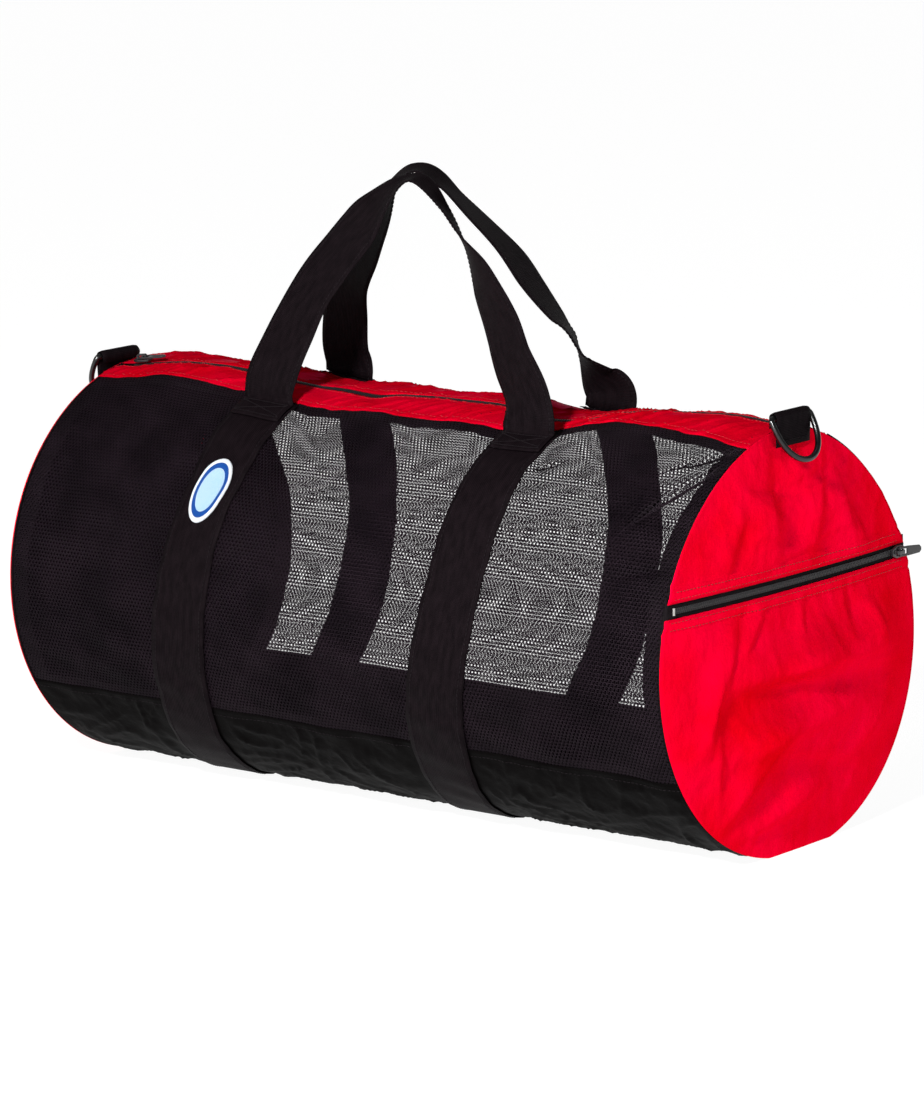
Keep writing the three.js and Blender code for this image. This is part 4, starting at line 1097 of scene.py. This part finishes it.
tab_lines = [tab(-1), tab(1)]
ring(-1)
ring(1)
stitches("tab_stitches", tab_lines, BLACK_THREAD, 2.6 * MM, 0.8 * MM, 0.45 * MM)


# Zip sliders and pulls keep their solids' shape, with their edges rounded

def rounded(name, node_name, body):
    """Copy of a solid with its sharp edges rounded, riding on the same body."""
    work = bmesh.new()
    work.from_mesh(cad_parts[node_name].data)
    work.transform(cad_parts[node_name].matrix_world)
    bmesh.ops.remove_doubles(work, verts=work.verts, dist=1e-6)
    bmesh.ops.dissolve_limit(work, angle_limit=0.02, verts=work.verts, edges=work.edges)
    sharp = [side for side in work.edges if len(side.link_faces) == 2 and side.calc_face_angle(0) > 0.4]
    bmesh.ops.bevel(work, geom=sharp, offset=0.35 * MM, segments=2, profile=0.7, affect="EDGES",
                    clamp_overlap=True)
    mesh = bpy.data.meshes.new(name)
    work.to_mesh(mesh)
    work.free()
    mesh.materials.append(HARD)
    mesh.polygons.foreach_set("use_smooth", np.ones(len(mesh.polygons), bool))
    piece = bpy.data.objects.new(name, mesh)
    bpy.context.scene.collection.objects.link(piece)
    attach(piece, body)
    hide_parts(node_name)


rounded("slider_main", "main_zip_slider", "bag")
rounded("pull_main", "main_zip_pull", "main_pull")
rounded("slider_pocket", "pocket_zip_slider", "bag")
rounded("pull_pocket", "pocket_zip_pull", "pocket_pull")


# Badge: an embroidered oval with a thick edge, a ring and a field of plain bands

def embroidery(name, color, roughness, depth):
    material, tree, main = shader(name, color, roughness, Specular_IOR_Level=0.1)
    bump(tree, main, noise(tree, "Object", 900.0, 2.0), 0.5, depth)
    return material, tree, main


def badge_materials():
    """Materials of the rim, the ring and the field, in the order that badge picks them."""
    rim, _, _ = embroidery("badge_rim", (186, 190, 194), 0.7, 0.0006)
    blue, _, _ = embroidery("badge_blue", (16, 58, 122), 0.65, 0.0005)
    field, tree, main = embroidery("badge_field", (120, 166, 196), 0.65, 0.0005)
    wave = node(tree, "ShaderNodeTexWave", Scale=1.0, Distortion=1.6, Detail=0.0)
    wave.bands_direction = "Y"
    tree.links.new(scaled(tree, "UV", (14.0, 18.0, 1.0)), wave.inputs["Vector"])
    tint(tree, main, wave.outputs["Fac"], (88, 142, 182), (180, 192, 200), 0.42, 0.58)
    return [rim, blue, field]


# Rings of the badge from its middle: share of its half size, height in mm and material outside the ring
BADGE_RINGS = [
    (0.00, 1.2, 2), (0.20, 1.2, 2), (0.40, 1.2, 2), (0.60, 1.2, 2), (0.68, 1.2, 1), (0.72, 1.35, 1),
    (0.80, 1.35, 1), (0.86, 1.35, 0), (0.88, 1.3, 0), (0.90, 1.6, 0), (0.94, 1.9, 0), (0.98, 1.6, 0),
    (1.00, 0.9, 0), (1.00, 0.0, 0),
]


def badge():
    spokes = np.linspace(0, 2 * math.pi, 72, endpoint=False)
    shares, rises, picks = np.array(BADGE_RINGS).T
    across = shares[:, None] * np.sin(spokes)
    down = shares[:, None] * np.cos(spokes)
    around = BADGE_AROUND + np.degrees(2 * down * BADGE_LENGTH / 2 / HEIGHT)
    x = strap_x(LEFT_STRAP, around) + across * BADGE_WIDTH / 2
    points = skin(x, around, LAYER_GAP + STRAP_THICK + 0.2 * MM + rises[:, None] * MM)
    faces = grid_faces(len(shares), len(spokes), closed=True)
    make("badge", points, faces, badge_materials(), ["oval_badge"], uv=pairs(across, down),
         pick=np.repeat(picks[:-1], len(spokes)))


badge()


# Floor, light and camera

FLOOR_HALF = 30.0

# Camera fitted to the outline of the bag in the photo; its place is from the middle of the bag's section
CAMERA_PLACE = (2.8693, -3.5288, 0.9213)
CAMERA_FORWARD = (-0.6179, 0.7630, -0.1896)
CAMERA_RIGHT = (0.7793, 0.6264, -0.0186)
FOCAL_PIXELS = 5000
PHOTO_HEIGHT = 1100
SENSOR = 36


def add_stage():
    """Near-white floor that gives most of its own light, so that only a faint shade shows on it."""
    material, tree, main = shader("floor_white", (110, 110, 110), 0.9, Emission_Color=(1, 1, 1, 1),
                                  Emission_Strength=0.94)
    bump(tree, main, noise(tree, "Object", 30.0, 2.0), 0.02, 0.001)
    corners = [(x * FLOOR_HALF, y * FLOOR_HALF, 0) for x, y in ((-1, -1), (1, -1), (1, 1), (-1, 1))]
    mesh = bpy.data.meshes.new("floor")
    mesh.from_pydata(corners, [], [(0, 1, 2, 3)])
    mesh.materials.append(material)
    floor = bpy.data.objects.new("floor", mesh)
    bpy.context.scene.collection.objects.link(floor)


def add_light(name, place, target, size, power):
    light = bpy.data.lights.new(name, "AREA")
    light.shape = "SQUARE"
    light.size = size
    light.energy = power
    piece = bpy.data.objects.new(name, light)
    piece.location = place
    piece.rotation_euler = (Vector(target) - Vector(place)).to_track_quat("-Z", "Y").to_euler()
    bpy.context.scene.collection.objects.link(piece)


def add_camera():
    forward = Vector(CAMERA_FORWARD).normalized()
    right = Vector(CAMERA_RIGHT)
    right = (right - forward * right.dot(forward)).normalized()
    turn = Matrix((right, right.cross(forward), -forward)).transposed().to_4x4()
    camera = bpy.data.objects.new("camera", bpy.data.cameras.new("camera"))
    camera.data.sensor_width = SENSOR
    camera.data.lens = FOCAL_PIXELS / PHOTO_HEIGHT * SENSOR
    camera.data.clip_end = 100
    x, y, z = CAMERA_PLACE
    camera.matrix_world = Matrix.Translation((x, y, z + AXIS)) @ turn
    bpy.context.scene.collection.objects.link(camera)
    bpy.context.scene.camera = camera


def add_world():
    """Sky that is white at the horizon and dim grey above it."""
    world = bpy.data.worlds.new("world")
    world.use_nodes = True
    tree = world.node_tree
    sky = tree.nodes.new("ShaderNodeValToRGB")
    for stop, place, grey in zip(sky.color_ramp.elements, (0.1, 0.3), (1, 0.12)):
        stop.position = place
        stop.color = (grey, grey, grey, 1)
    heading = tree.nodes.new("ShaderNodeTexCoord")
    height = tree.nodes.new("ShaderNodeSeparateXYZ")
    tree.links.new(heading.outputs["Generated"], height.inputs["Vector"])
    tree.links.new(height.outputs["Z"], sky.inputs["Fac"])
    tree.links.new(sky.outputs["Color"], tree.nodes["Background"].inputs["Color"])
    bpy.context.scene.world = world


add_stage()
add_camera()
add_light("key", (-0.4, -3.4, 1.9), (0, 0, 0.2), 1.2, 22)
add_light("graze", (0.80, -2.1, 1.5), (0.42, 0, 0.2), 0.25, 110)
add_light("end_light", (3.0, -1.2, 1.2), (0.38, 0, 0.2), 1.0, 3)
add_light("top_light", (-0.8, 0.8, 3.2), (0, 0, 0.3), 1.6, 5)
add_world()
bpy.context.scene.view_settings.view_transform = "Standard"
